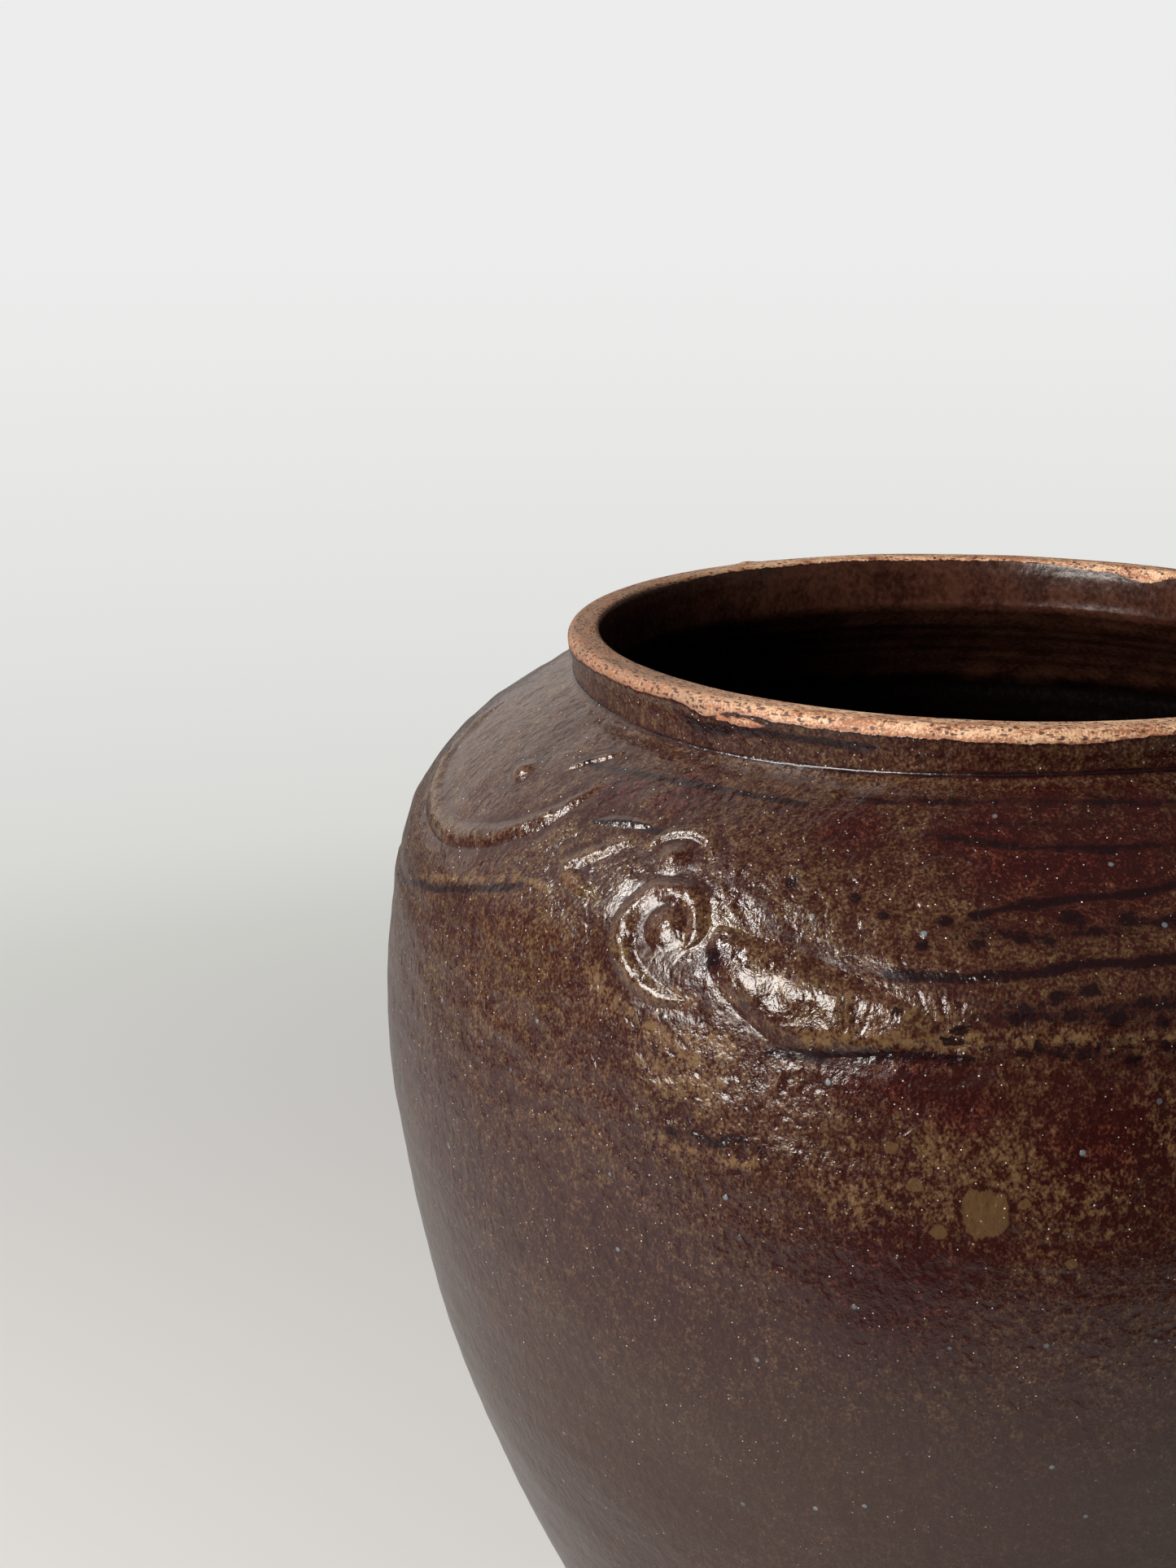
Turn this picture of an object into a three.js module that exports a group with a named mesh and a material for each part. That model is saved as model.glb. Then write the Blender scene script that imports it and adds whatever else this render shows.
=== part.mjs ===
// Wide-mouthed storage jar of brown-glazed stoneware, of the martaban kind.
// The jar is raised from clay sections that are luted one on another with bevelled joints: a base
// disc, a lower wall, a belly, a shoulder dome, a neck collar and a mouth lip. Smoothed coils of clay
// strengthen the joints, and a raised scroll and lappet are sprigged three times round the shoulder.
// Millimetres, +Z up, origin at the middle of the foot.
import * as THREE from 'three';

// Heights of the sections, from the foot upwards
const baseHeight = 12;
const lowerWallHeight = 134;
const bellyHeight = 116;
const shoulderHeight = 40.5;
const neckHeight = 8;
const lipHeight = 5.5;
// How far the widest line of the belly lies below the shoulder joint
const crestDrop = 44;

// Outside radii, from the foot upwards
const footRadius = 74;
const lowerSeamRadius = 132;
const bellyRadius = 144.5;
const shoulderSeamRadius = 140.8;
const neckFootRadius = 104;
const neckRadius = 99.5;
const lipRadius = 100;

// Thickness of the clay
const wallThickness = 8;
const neckThickness = 7.6;
const lipThickness = 7.8;

// Joints: the layer of slip between two pieces, the rise of the bevel from the outside to the inside,
// and the ledge where the belly stands out from under the shoulder, with the height it fades over
const slipGap = 0.3;
const bevelRise = 3;
const lipBevelRise = 1.2;
const seamLedge = 0.9;
const ledgeFade = 30;

// Foot: a flat band to stand on round a slightly dished middle
const footBandWidth = 14;
const dishDepth = 1.5;
const footChamfer = 2;

// How far the lip stands out over its seat, its rounded edges, and the waist of the collar below it
const lipUndercut = 0.5;
const lipOuterRound = 2.2;
const lipInnerRound = 1.3;
const neckWaist = 0.4;

// Coils smoothed over the joints
const neckCoilWidth = 4.2;
const neckCoilHeight = 4.2;
const seamCoilWidth = 22;
const seamCoilThickness = 3;
const baseCoilWidth = 12;
const baseCoilHeight = 10;

// Raised ornament: widths across the strip and rises off the wall
const lappetSpread = 83;
const lappetStripWidth = 3.6;
const lappetStripRise = 1.3;
const veinStripWidth = 2;
const veinStripRise = 0.7;
const lappetKnobSize = 4.4;
const lappetKnobRise = 1.4;
const scrollEyeSize = 6;
const scrollEyeRise = 2;
const scrollInnerRadius = 5.6;
const scrollOuterRadius = 10.4;
const scrollStripWidth = 2.9;
const scrollStripRise = 1.7;
const tailWidth = 8.6;
const tailRise = 2.4;
const crestStripWidth = 2.2;
const crestStripRise = 0.9;
const crestKnobSize = 4;
const crestKnobRise = 1.5;
const beakStripWidth = 2.7;
const beakStripRise = 1.1;
const browStripWidth = 1.8;
const browStripRise = 0.6;

// Counts and turns
const motifCount = 3;
const motifTurn = (2 * Math.PI) / motifCount;
const firstMotifAngle = THREE.MathUtils.degToRad(-162);
const roundSegments = 60;
const wallSteps = 6;
const bellySteps = 8;
const insideSteps = 5;
const filletSteps = 3;
const bossSides = 10;
const bossRings = 2;
const lappetSteps = 22;
const spiralSteps = 22;
const tailSteps = 12;
const shortStripSteps = 8;

// Levels worked out from the heights, and the radii of the seats at both ends of the collar
const baseJoint = baseHeight - bevelRise;
const lowerSeam = baseHeight + lowerWallHeight;
const shoulderSeam = lowerSeam + bellyHeight;
const neckSeam = shoulderSeam + shoulderHeight;
const lipSeam = neckSeam + neckHeight;
const jarHeight = lipSeam + lipHeight;
const collarFootRadius = neckFootRadius - neckCoilWidth - slipGap;
const collarFootInner = collarFootRadius - neckThickness;
const lipSeatRadius = lipRadius - lipUndercut;
const lipSeatInner = lipSeatRadius - neckThickness;
const lipInnerRadius = lipRadius - lipThickness;

// Finishes
const brownGlaze = { color: 0x56402f, roughness: 0.3, metalness: 0 };
const insideGlaze = { color: 0x29170f, roughness: 0.25, metalness: 0 };
const bareClay = { color: 0xcf9f7d, roughness: 0.85, metalness: 0 };

// A curve from one point to another, whose two handles are given as shares of the way in r and in z
function bowedCurve(from, to, firstShares, secondShares) {
  const [first, second] = [firstShares, secondShares].map(([rShare, zShare]) => new THREE.Vector2(
    THREE.MathUtils.lerp(from.x, to.x, rShare),
    THREE.MathUtils.lerp(from.y, to.y, zShare),
  ));
  return new THREE.CubicBezierCurve(from, first, second, to);
}

// Outline of the body from the foot to the neck, as (radius, height): nearly straight and flaring
// above the foot, fullest high up, then a short and steep shoulder
const lowerWallShares = [[0.276, 0.269], [0.767, 0.664]];
const lowerBellyShares = [[0.48, 0.333], [0.984, 0.792]];
const upperBellyShares = [[0, 0.318], [0.567, 0.682]];
const shoulderShares = [[0.022, 0.422], [0.51, 0.723]];
const footPoint = new THREE.Vector2(footRadius, baseJoint);
const lowerSeamPoint = new THREE.Vector2(lowerSeamRadius, lowerSeam);
const crestPoint = new THREE.Vector2(bellyRadius, shoulderSeam - crestDrop);
const shoulderSeamPoint = new THREE.Vector2(shoulderSeamRadius, shoulderSeam);
const neckFootPoint = new THREE.Vector2(neckFootRadius, neckSeam);
const shoulderCurve = bowedCurve(shoulderSeamPoint, neckFootPoint, ...shoulderShares);
const bodyOutline = new THREE.CurvePath();
bodyOutline.add(bowedCurve(footPoint, lowerSeamPoint, ...lowerWallShares));
bodyOutline.add(bowedCurve(lowerSeamPoint, crestPoint, ...lowerBellyShares));
bodyOutline.add(bowedCurve(crestPoint, shoulderSeamPoint, ...upperBellyShares));
bodyOutline.add(shoulderCurve);

// A point of an outline moved into the clay along its normal
function sunkPoint(curve, share, depth) {
  const point = curve.getPoint(share);
  const tangent = curve.getTangent(share);
  return new THREE.Vector2(point.x - tangent.y * depth, point.y + tangent.x * depth);
}

// Share of the body outline at which its surface, moved in by a depth, reaches a height
function shareAtHeight(height, depth) {
  let low = 0;
  let high = 1;
  for (let round = 0; round < 40; round += 1) {
    const middle = (low + high) / 2;
    if (sunkPoint(bodyOutline, middle, depth).y < height) low = middle;
    else high = middle;
  }
  return low;
}

// Outside of the wall between two heights, upwards, and the ledge that stands out below a joint
function outsideRun(fromHeight, toHeight, steps, ledge = 0) {
  const first = shareAtHeight(fromHeight, 0);
  const last = shareAtHeight(toHeight, 0);
  return Array.from({ length: steps + 1 }, (unused, step) => {
    const share = THREE.MathUtils.lerp(first, last, step / steps);
    const below = (toHeight - bodyOutline.getPoint(share).y) / ledgeFade;
    const standOut = ledge * (1 - THREE.MathUtils.smoothstep(below, 0, 1));
    return sunkPoint(bodyOutline, share, -standOut);
  });
}

// Inside of the wall between two heights, upwards, with one point at each of evenly spaced heights
function insideRun(fromHeight, toHeight, steps) {
  return Array.from({ length: steps + 1 }, (unused, step) => {
    const height = THREE.MathUtils.lerp(fromHeight, toHeight, step / steps);
    const share = shareAtHeight(height, wallThickness);
    return new THREE.Vector2(sunkPoint(bodyOutline, share, wallThickness).x, height);
  });
}

// Inside of each section, which the coils inside follow as well
const insideRise = slipGap + bevelRise;
const shoulderInsideTop = sunkPoint(bodyOutline, 1, wallThickness).y;
const lowerInside = insideRun(baseJoint + insideRise, lowerSeam + bevelRise, insideSteps);
const bellyInside = insideRun(lowerSeam + insideRise, shoulderSeam + bevelRise, insideSteps);
const shoulderInside = insideRun(shoulderSeam + insideRise, shoulderInsideTop, insideSteps);
const insideLine = [...lowerInside, ...bellyInside, ...shoulderInside];

// Radius at a height on a rising line of (radius, height) points
function radiusAt(line, height) {
  const below = line.filter((point) => point.y < height).length;
  const after = THREE.MathUtils.clamp(below, 1, line.length - 1);
  const [lower, upper] = [line[after - 1], line[after]];
  return THREE.MathUtils.mapLinear(height, lower.y, upper.y, lower.x, upper.x);
}

// The stretch of a rising line between two heights, moved in or out by a distance
function besideLine(line, low, high, distance) {
  const heights = line.map((point) => point.y).filter((height) => height > low && height < high);
  return [low, ...heights, high].map((height) => (
    new THREE.Vector2(radiusAt(line, height) + distance, height)
  ));
}

// A solid turned about the jar's axis from an outline of (radius, height) points
function turned(name, outline, finish) {
  const geometry = new THREE.LatheGeometry(outline, roundSegments);
  geometry.rotateX(Math.PI / 2);
  const mesh = new THREE.Mesh(geometry, new THREE.MeshStandardMaterial(finish));
  mesh.name = name;
  return mesh;
}

// A turned ring, whose outline closes on itself
function turnedRing(name, outline, finish) {
  return turned(name, [...outline, outline[0].clone()], finish);
}

// Base disc: flat foot band, dished underside and a bevelled rim that the wall sits on
function baseDisc() {
  const bandInner = footRadius - footChamfer - footBandWidth;
  const outline = [
    [0, dishDepth],
    [bandInner - dishDepth, dishDepth],
    [bandInner, 0],
    [footRadius - footChamfer, 0],
    [footRadius, footChamfer],
    [footRadius, baseJoint],
    [footRadius - wallThickness, baseHeight],
    [0, baseHeight],
  ];
  return turned('base_disc', outline.map(([r, z]) => new THREE.Vector2(r, z)), bareClay);
}

// One section of the body wall between two joints, with a bevel at each end; a ledge at the top edge
// is chamfered back to the foot of the piece above
function wallSection(name, fromHeight, toHeight, inside, steps, ledge) {
  const outside = outsideRun(fromHeight + slipGap, toHeight - ledge, steps, ledge);
  if (ledge > 0) outside.push(sunkPoint(bodyOutline, shareAtHeight(toHeight, 0), 0));
  return turnedRing(name, [...outside, ...inside.toReversed()], brownGlaze);
}

// Shoulder dome: the same wall, closing in to the flat seat of the collar
function shoulderDome() {
  const outside = outsideRun(shoulderSeam + slipGap, neckSeam, wallSteps);
  const mouthEdge = new THREE.Vector2(collarFootInner, neckSeam);
  return turnedRing('shoulder_dome', [...outside, mouthEdge, ...shoulderInside.toReversed()], brownGlaze);
}

// Neck collar: a short, slightly waisted ring between its seat on the shoulder and the seat of the lip
const collarBottom = neckSeam + slipGap;
const waistHeight = (collarBottom + lipSeam) / 2;
const collarOutside = [
  new THREE.Vector2(collarFootRadius, collarBottom),
  new THREE.Vector2(neckRadius - neckWaist, waistHeight),
  new THREE.Vector2(lipSeatRadius, lipSeam),
];

function neckCollar() {
  const inside = [
    new THREE.Vector2(lipSeatInner, lipSeam + lipBevelRise),
    new THREE.Vector2(neckRadius - neckThickness, waistHeight),
    new THREE.Vector2(collarFootInner, collarBottom),
  ];
  return turnedRing('neck_collar', [...collarOutside, ...inside], brownGlaze);
}

// Quarter of a circle about a centre, from one angle by a right angle anticlockwise
function quarterRound(centreR, centreZ, radius, startAngle) {
  return Array.from({ length: filletSteps + 1 }, (unused, step) => {
    const angle = startAngle + (Math.PI / 2) * (step / filletSteps);
    return new THREE.Vector2(centreR + radius * Math.cos(angle), centreZ + radius * Math.sin(angle));
  });
}

// Mouth lip: flat on top, with rounded edges, bevelled down onto the collar
function mouthLip() {
  const bottom = lipSeam + slipGap;
  const outerTop = jarHeight - lipOuterRound;
  const innerTop = jarHeight - lipInnerRound;
  const outline = [
    new THREE.Vector2(lipSeatRadius, bottom),
    ...quarterRound(lipRadius - lipOuterRound, outerTop, lipOuterRound, 0),
    ...quarterRound(lipInnerRadius + lipInnerRound, innerTop, lipInnerRound, Math.PI / 2),
    new THREE.Vector2(lipSeatInner, bottom + lipBevelRise),
  ];
  return turnedRing('mouth_lip', outline, bareClay);
}

// How far a corner coil keeps out of its corner after it is drawn hollow
const hollowShare = 0.25;

// Luting coil in the corner between the collar and the shoulder, drawn hollow by a fingertip
function neckLutingCoil() {
  const back = besideLine(collarOutside, collarBottom, collarBottom + neckCoilHeight, slipGap);
  const toe = new THREE.Vector2(neckFootRadius, collarBottom);
  const handle = new THREE.Vector2().lerpVectors(back[0], toe, hollowShare);
  const front = new THREE.QuadraticBezierCurve(toe, handle, back.at(-1)).getPoints(filletSteps);
  return turnedRing('neck_luting_coil', [...front, ...back.slice(0, -1).toReversed()], brownGlaze);
}

// Front of a smoothed coil, as shares of its half width and of its thickness
const coilFrontShares = [[0.72, 0.7], [0, 1], [-0.72, 0.7]];

// Coil smoothed over a joint inside the wall
function seamCoil(name, seam) {
  const middle = seam + bevelRise / 2;
  const reach = seamCoilWidth / 2;
  const back = besideLine(insideLine, middle - reach, middle + reach, -slipGap);
  const front = coilFrontShares.map(([reachShare, thicknessShare]) => {
    const height = middle + reach * reachShare;
    const backRadius = radiusAt(insideLine, height) - slipGap;
    return new THREE.Vector2(backRadius - seamCoilThickness * thicknessShare, height);
  });
  return turnedRing(name, [...back, ...front], insideGlaze);
}

// Coil pressed into the corner between the base disc and the wall
function baseSeamCoil() {
  const bottom = baseHeight + slipGap;
  const back = besideLine(insideLine, bottom, bottom + baseCoilHeight, -slipGap);
  const toe = new THREE.Vector2(back[0].x - baseCoilWidth, bottom);
  const handle = new THREE.Vector2().lerpVectors(back[0], toe, hollowShare);
  const front = new THREE.QuadraticBezierCurve(back.at(-1), handle, toe).getPoints(filletSteps);
  return turnedRing('base_seam_coil', [...back.slice(0, -1), ...front], insideGlaze);
}

// The ornament is laid out on the unrolled shoulder: x runs round the jar and y down from the neck,
// both as lengths, and a third value is the lift off the wall
const sheetRadius = (neckFootRadius + shoulderSeamRadius) / 2;
const sheetDrop = shoulderCurve.getLength();

// A sheet point at a share of one motif's turn and a share of the drop down the shoulder
function sheetPoint(turnShare, dropShare) {
  return new THREE.Vector3(turnShare * motifTurn * sheetRadius, dropShare * sheetDrop, 0);
}

// Place of a sheet point on the jar; past the ends of the shoulder the outline runs on straight
function onShoulder(x, y, lift) {
  const share = 1 - y / sheetDrop;
  const held = THREE.MathUtils.clamp(share, 0, 1);
  const point = shoulderCurve.getPointAt(held);
  const tangent = shoulderCurve.getTangentAt(held);
  const past = (share - held) * sheetDrop;
  const radius = point.x + tangent.y * lift + tangent.x * past;
  const height = point.y - tangent.x * lift + tangent.y * past;
  const angle = x / sheetRadius;
  return new THREE.Vector3(radius * Math.cos(angle), radius * Math.sin(angle), height);
}

// How much wider the sheet is than the jar at a drop, to turn a real width into sheet lengths
function sheetStretch(y) {
  return sheetRadius / onShoulder(0, y, 0).x;
}

// A closed mesh from rings of equally many points, with a fan on each end ring
function meshFromRings(name, rings, firstTip, lastTip, finish) {
  const count = rings[0].length;
  const points = [firstTip, ...rings.flat(), lastTip];
  const lastTipIndex = points.length - 1;
  const triangles = [];
  for (let side = 0; side < count; side += 1) {
    const next = (side + 1) % count;
    triangles.push(0, 1 + side, 1 + next);
    for (let ring = 0; ring < rings.length - 1; ring += 1) {
      const here = 1 + ring * count;
      const there = here + count;
      triangles.push(here + side, there + side, there + next);
      triangles.push(here + side, there + next, here + next);
    }
    const end = 1 + (rings.length - 1) * count;
    triangles.push(lastTipIndex, end + next, end + side);
  }
  const geometry = new THREE.BufferGeometry().setFromPoints(points);
  geometry.setIndex(triangles);
  geometry.computeVertexNormals();
  const mesh = new THREE.Mesh(geometry, new THREE.MeshStandardMaterial(finish));
  mesh.name = name;
  return mesh;
}

// Cross-section of a clay strip as shares of its half width and of its rise: flat back, round front
const stripSectionShares = [[-1, 0], [0, 0], [1, 0], [0.72, 0.7], [0, 1], [-0.72, 0.7]];

// Value at a share of the way along a list of evenly spaced shares
function shareAlong(shares, wayShare) {
  const place = wayShare * (shares.length - 1);
  const before = Math.min(Math.floor(place), shares.length - 2);
  return THREE.MathUtils.lerp(shares[before], shares[before + 1], place - before);
}

// A strip of clay pressed onto the shoulder along a route of sheet points, swelling and tapering
function clayStrip(name, route, width, rise, swellShares, steps) {
  const curve = new THREE.CatmullRomCurve3(route, false, 'centripetal');
  const rings = [];
  for (let step = 0; step <= steps; step += 1) {
    const centre = curve.getPointAt(step / steps);
    const stretch = sheetStretch(centre.y);
    const tangent = curve.getTangentAt(step / steps);
    const along = new THREE.Vector2(tangent.x / stretch, tangent.y).normalize();
    const swell = shareAlong(swellShares, step / steps);
    rings.push(stripSectionShares.map(([acrossShare, riseShare]) => {
      const across = acrossShare * (width / 2) * swell;
      const x = centre.x - along.y * across * stretch;
      const y = centre.y + along.x * across;
      return onShoulder(x, y, slipGap + rise * swell * riseShare);
    }));
  }
  const tips = [rings[0], rings[steps]].map((ring) => ring[1].clone().lerp(ring[4], 0.5));
  return meshFromRings(name, rings, tips[0], tips[1], brownGlaze);
}

// A low round boss pressed onto the shoulder
function clayBoss(name, centre, size, rise) {
  const stretch = sheetStretch(centre.y);
  const rings = [];
  for (let ring = 0; ring <= bossRings; ring += 1) {
    const climb = (ring / (bossRings + 1)) * (Math.PI / 2);
    rings.push(Array.from({ length: bossSides }, (unused, side) => {
      const angle = (side / bossSides) * Math.PI * 2;
      const x = centre.x + Math.cos(angle) * Math.cos(climb) * (size / 2) * stretch;
      const y = centre.y + Math.sin(angle) * Math.cos(climb) * (size / 2);
      return onShoulder(x, y, slipGap + rise * Math.sin(climb));
    }));
  }
  const backTip = onShoulder(centre.x, centre.y, slipGap);
  const frontTip = onShoulder(centre.x, centre.y, slipGap + rise);
  return meshFromRings(name, rings, backTip, frontTip, brownGlaze);
}

// Lappet outline: a U-shaped strip hanging from the neck, half an ellipse with its arms cut short
const lappetTopShare = 0.1;
const lappetDepthShare = 0.58;
const lappetArmAngle = THREE.MathUtils.degToRad(79);
const lappetSwellShares = [0.4, 0.9, 1, 1, 1, 0.9, 0.4];

function lappetOutline(name) {
  const route = Array.from({ length: lappetSteps + 1 }, (unused, step) => {
    const angle = THREE.MathUtils.lerp(-lappetArmAngle, lappetArmAngle, step / lappetSteps);
    const dropShare = lappetTopShare + lappetDepthShare * Math.cos(angle);
    return new THREE.Vector3((lappetSpread / 2) * Math.sin(angle), dropShare * sheetDrop, 0);
  });
  return clayStrip(name, route, lappetStripWidth, lappetStripRise, lappetSwellShares, lappetSteps);
}

// Ring and volute of the scroll: a spiral that opens evenly round the eye
const spiralStartAngle = THREE.MathUtils.degToRad(-50);
const spiralEndAngle = THREE.MathUtils.degToRad(296);
const spiralSwellShares = [0.4, 0.85, 0.9, 1, 1, 1, 1, 0.8, 0.4];

function scrollSpiral(name, eye) {
  const stretch = sheetStretch(eye.y);
  const route = Array.from({ length: spiralSteps + 1 }, (unused, step) => {
    const angle = THREE.MathUtils.lerp(spiralStartAngle, spiralEndAngle, step / spiralSteps);
    const radius = THREE.MathUtils.lerp(scrollInnerRadius, scrollOuterRadius, step / spiralSteps);
    const x = eye.x + Math.cos(angle) * radius * stretch;
    return new THREE.Vector3(x, eye.y - Math.sin(angle) * radius, 0);
  });
  return clayStrip(name, route, scrollStripWidth, scrollStripRise, spiralSwellShares, spiralSteps);
}

// Places of the other pieces: shares of one motif's turn from the middle of the lappet, and of the
// drop from the neck to the shoulder joint
const eyeShares = [0.3, 0.7];
const lappetKnobShares = [0.05, 0.32];
const crestKnobShares = [0.28, 0.44];
const veinRouteShares = [[0.129, 0.1], [0.105, 0.2], [0.095, 0.3]];
const tailRouteShares = [
  [0.339, 0.655], [0.358, 0.76], [0.388, 0.83], [0.417, 0.885], [0.45, 0.905], [0.483, 0.92], [0.508, 0.945],
];
const crestRouteShares = [[0.252, 0.415], [0.262, 0.345], [0.283, 0.31], [0.303, 0.34], [0.312, 0.4]];
const beakRouteShares = [[0.235, 0.405], [0.207, 0.5], [0.188, 0.588], [0.205, 0.63], [0.23, 0.665]];
const browRouteShares = [[0.183, 0.385], [0.212, 0.345], [0.242, 0.33]];

// Swelling of a strip along its route
const evenSwellShares = [0.4, 0.9, 1, 0.9, 0.4];
const tailSwellShares = [0.3, 0.62, 0.9, 1, 0.95, 0.75, 0.5, 0.22];

// A short strip of the motif along a route of shares
function motifStrip(name, routeShares, width, rise, swellShares = evenSwellShares, steps = shortStripSteps) {
  const route = routeShares.map((placeShares) => sheetPoint(...placeShares));
  return clayStrip(name, route, width, rise, swellShares, steps);
}

// One set of ornament, in a group that is turned to its place round the jar
function motif(number) {
  const named = (piece) => `${piece}_${number}`;
  const eye = sheetPoint(...eyeShares);
  const group = new THREE.Group();
  group.add(lappetOutline(named('lappet_outline')));
  group.add(motifStrip(named('lappet_vein'), veinRouteShares, veinStripWidth, veinStripRise));
  group.add(clayBoss(named('lappet_knob'), sheetPoint(...lappetKnobShares), lappetKnobSize, lappetKnobRise));
  group.add(clayBoss(named('scroll_eye'), eye, scrollEyeSize, scrollEyeRise));
  group.add(scrollSpiral(named('scroll_spiral'), eye));
  group.add(motifStrip(
    named('scroll_tail'), tailRouteShares, tailWidth, tailRise, tailSwellShares, tailSteps,
  ));
  group.add(motifStrip(named('scroll_crest'), crestRouteShares, crestStripWidth, crestStripRise));
  group.add(clayBoss(named('scroll_knob'), sheetPoint(...crestKnobShares), crestKnobSize, crestKnobRise));
  group.add(motifStrip(named('scroll_beak'), beakRouteShares, beakStripWidth, beakStripRise));
  group.add(motifStrip(named('scroll_brow'), browRouteShares, browStripWidth, browStripRise));
  group.rotation.z = firstMotifAngle + (number - 1) * motifTurn;
  return group;
}

const jar = new THREE.Group();
jar.add(baseDisc());
jar.add(wallSection('lower_wall', baseJoint, lowerSeam, lowerInside, wallSteps, 0));
jar.add(wallSection('belly_wall', lowerSeam, shoulderSeam, bellyInside, bellySteps, seamLedge));
jar.add(shoulderDome());
jar.add(neckCollar());
jar.add(mouthLip());
jar.add(neckLutingCoil());
jar.add(baseSeamCoil());
jar.add(seamCoil('belly_seam_coil', lowerSeam));
jar.add(seamCoil('shoulder_seam_coil', shoulderSeam));
for (let number = 1; number <= motifCount; number += 1) jar.add(motif(number));

export default jar;
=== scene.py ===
# %% [markdown]
# # A brown-glazed storage jar of the martaban kind
# The jar is stoneware, raised from clay sections that were luted together, with a scroll and a lappet
# of clay pressed onto its short, steep shoulder. An iron-brown glaze covers it inside and out, and the
# flat lip was left bare.
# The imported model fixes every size. This lesson dresses each of its pieces with a finer surface of the
# same form, uneven as handwork is, and gives it a glaze and a clay that come from noise alone.

import bpy
import numpy as np
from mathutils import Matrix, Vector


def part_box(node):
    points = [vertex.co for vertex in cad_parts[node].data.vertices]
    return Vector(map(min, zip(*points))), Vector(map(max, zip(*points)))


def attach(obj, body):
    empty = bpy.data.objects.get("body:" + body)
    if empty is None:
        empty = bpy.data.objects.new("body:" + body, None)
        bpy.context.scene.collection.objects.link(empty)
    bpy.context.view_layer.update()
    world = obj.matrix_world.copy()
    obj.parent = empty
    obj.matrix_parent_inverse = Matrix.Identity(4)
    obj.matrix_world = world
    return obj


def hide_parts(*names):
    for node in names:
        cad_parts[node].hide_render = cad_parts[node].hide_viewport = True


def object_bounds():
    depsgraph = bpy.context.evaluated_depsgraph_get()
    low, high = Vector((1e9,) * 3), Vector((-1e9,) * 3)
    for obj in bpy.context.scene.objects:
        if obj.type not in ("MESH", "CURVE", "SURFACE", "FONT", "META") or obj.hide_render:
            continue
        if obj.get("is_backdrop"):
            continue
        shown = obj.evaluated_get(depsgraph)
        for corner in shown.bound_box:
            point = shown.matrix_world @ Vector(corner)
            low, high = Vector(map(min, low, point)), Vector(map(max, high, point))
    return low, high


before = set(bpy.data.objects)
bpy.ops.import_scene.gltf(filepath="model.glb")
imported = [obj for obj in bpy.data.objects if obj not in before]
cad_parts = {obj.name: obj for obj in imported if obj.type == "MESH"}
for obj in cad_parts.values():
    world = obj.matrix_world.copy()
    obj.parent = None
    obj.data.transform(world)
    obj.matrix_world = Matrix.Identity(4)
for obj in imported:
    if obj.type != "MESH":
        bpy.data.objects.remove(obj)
cad_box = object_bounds()
print("CAD nodes:", len(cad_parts), "box:", [tuple(round(v, 4) for v in corner) for corner in cad_box])

# %% [markdown]
# ## The photograph's view
# The picture was taken with a phone's longer lens from about half a metre, looking a little down.
# A camera could be placed by eye. Here its place comes from the ellipse of the mouth and the outline of
# the body, because a wrong distance changes how much of the inside shows.

# %% Camera
CAMERA_PLACE = (-0.0950, -0.5541, 0.4327)
LOOKING_DOWN = 15.737
CAMERA_TILT = np.radians(90 - LOOKING_DOWN)
LENS_MM = 54.10
NEAREST_SEEN = 0.01
camera = bpy.data.objects.new("camera", bpy.data.cameras.new("camera"))
camera.location = CAMERA_PLACE
camera.rotation_euler = (CAMERA_TILT, 0, 0)
camera.data.lens = LENS_MM
camera.data.clip_start = NEAREST_SEEN
bpy.context.collection.objects.link(camera)
bpy.context.scene.camera = camera
print("camera", CAMERA_PLACE, LENS_MM)

# %% [markdown]
# ## One way to make a node
# A material is a small machine of nodes. Each step of the lesson adds nodes with the same short call:
# the node's kind, its settings, and what goes into its sockets, which is a value or another socket.

# %% Node and colour helpers
def add(tree, kind, settings=None, sockets=None):
    """Adds one node: settings are its properties, sockets its inputs by name or number. A node that is
    given to a socket stands for the first of its outputs that is in use."""
    node = tree.nodes.new("ShaderNode" + kind)
    for name, value in (settings or {}).items():
        setattr(node, name, value)
    for key, value in (sockets or {}).items():
        if isinstance(value, bpy.types.Node):
            value = next(output for output in value.outputs if output.enabled)
        if isinstance(value, bpy.types.NodeSocket):
            tree.links.new(value, node.inputs[key])
        else:
            node.inputs[key].default_value = value
    return node


def linear(hex_colour):
    """sRGB hex digits as linear RGBA: below 0.04045 divided by 12.92, above ((c + 0.055) / 1.055) ** 2.4."""
    c = np.array([int(hex_colour[i:i + 2], 16) for i in (0, 2, 4)]) / 255
    rgb = np.where(c <= 0.04045, c / 12.92, ((c + 0.055) / 1.055) ** 2.4)
    return (*rgb.tolist(), 1.0)


def new_material(name):
    """An empty material with its output node."""
    material = bpy.data.materials.new(name)
    material.use_nodes = True
    material.node_tree.nodes.clear()
    return material, material.node_tree, add(material.node_tree, "OutputMaterial")


TIMES, TIMES_PLUS, MINUS = ({"operation": kind} for kind in ("MULTIPLY", "MULTIPLY_ADD", "SUBTRACT"))
EVEN_S = {"interpolation_type": "SMOOTHSTEP"}
COLOURS = {"data_type": "RGBA"}
print("white in linear:", linear("ffffff"))
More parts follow.
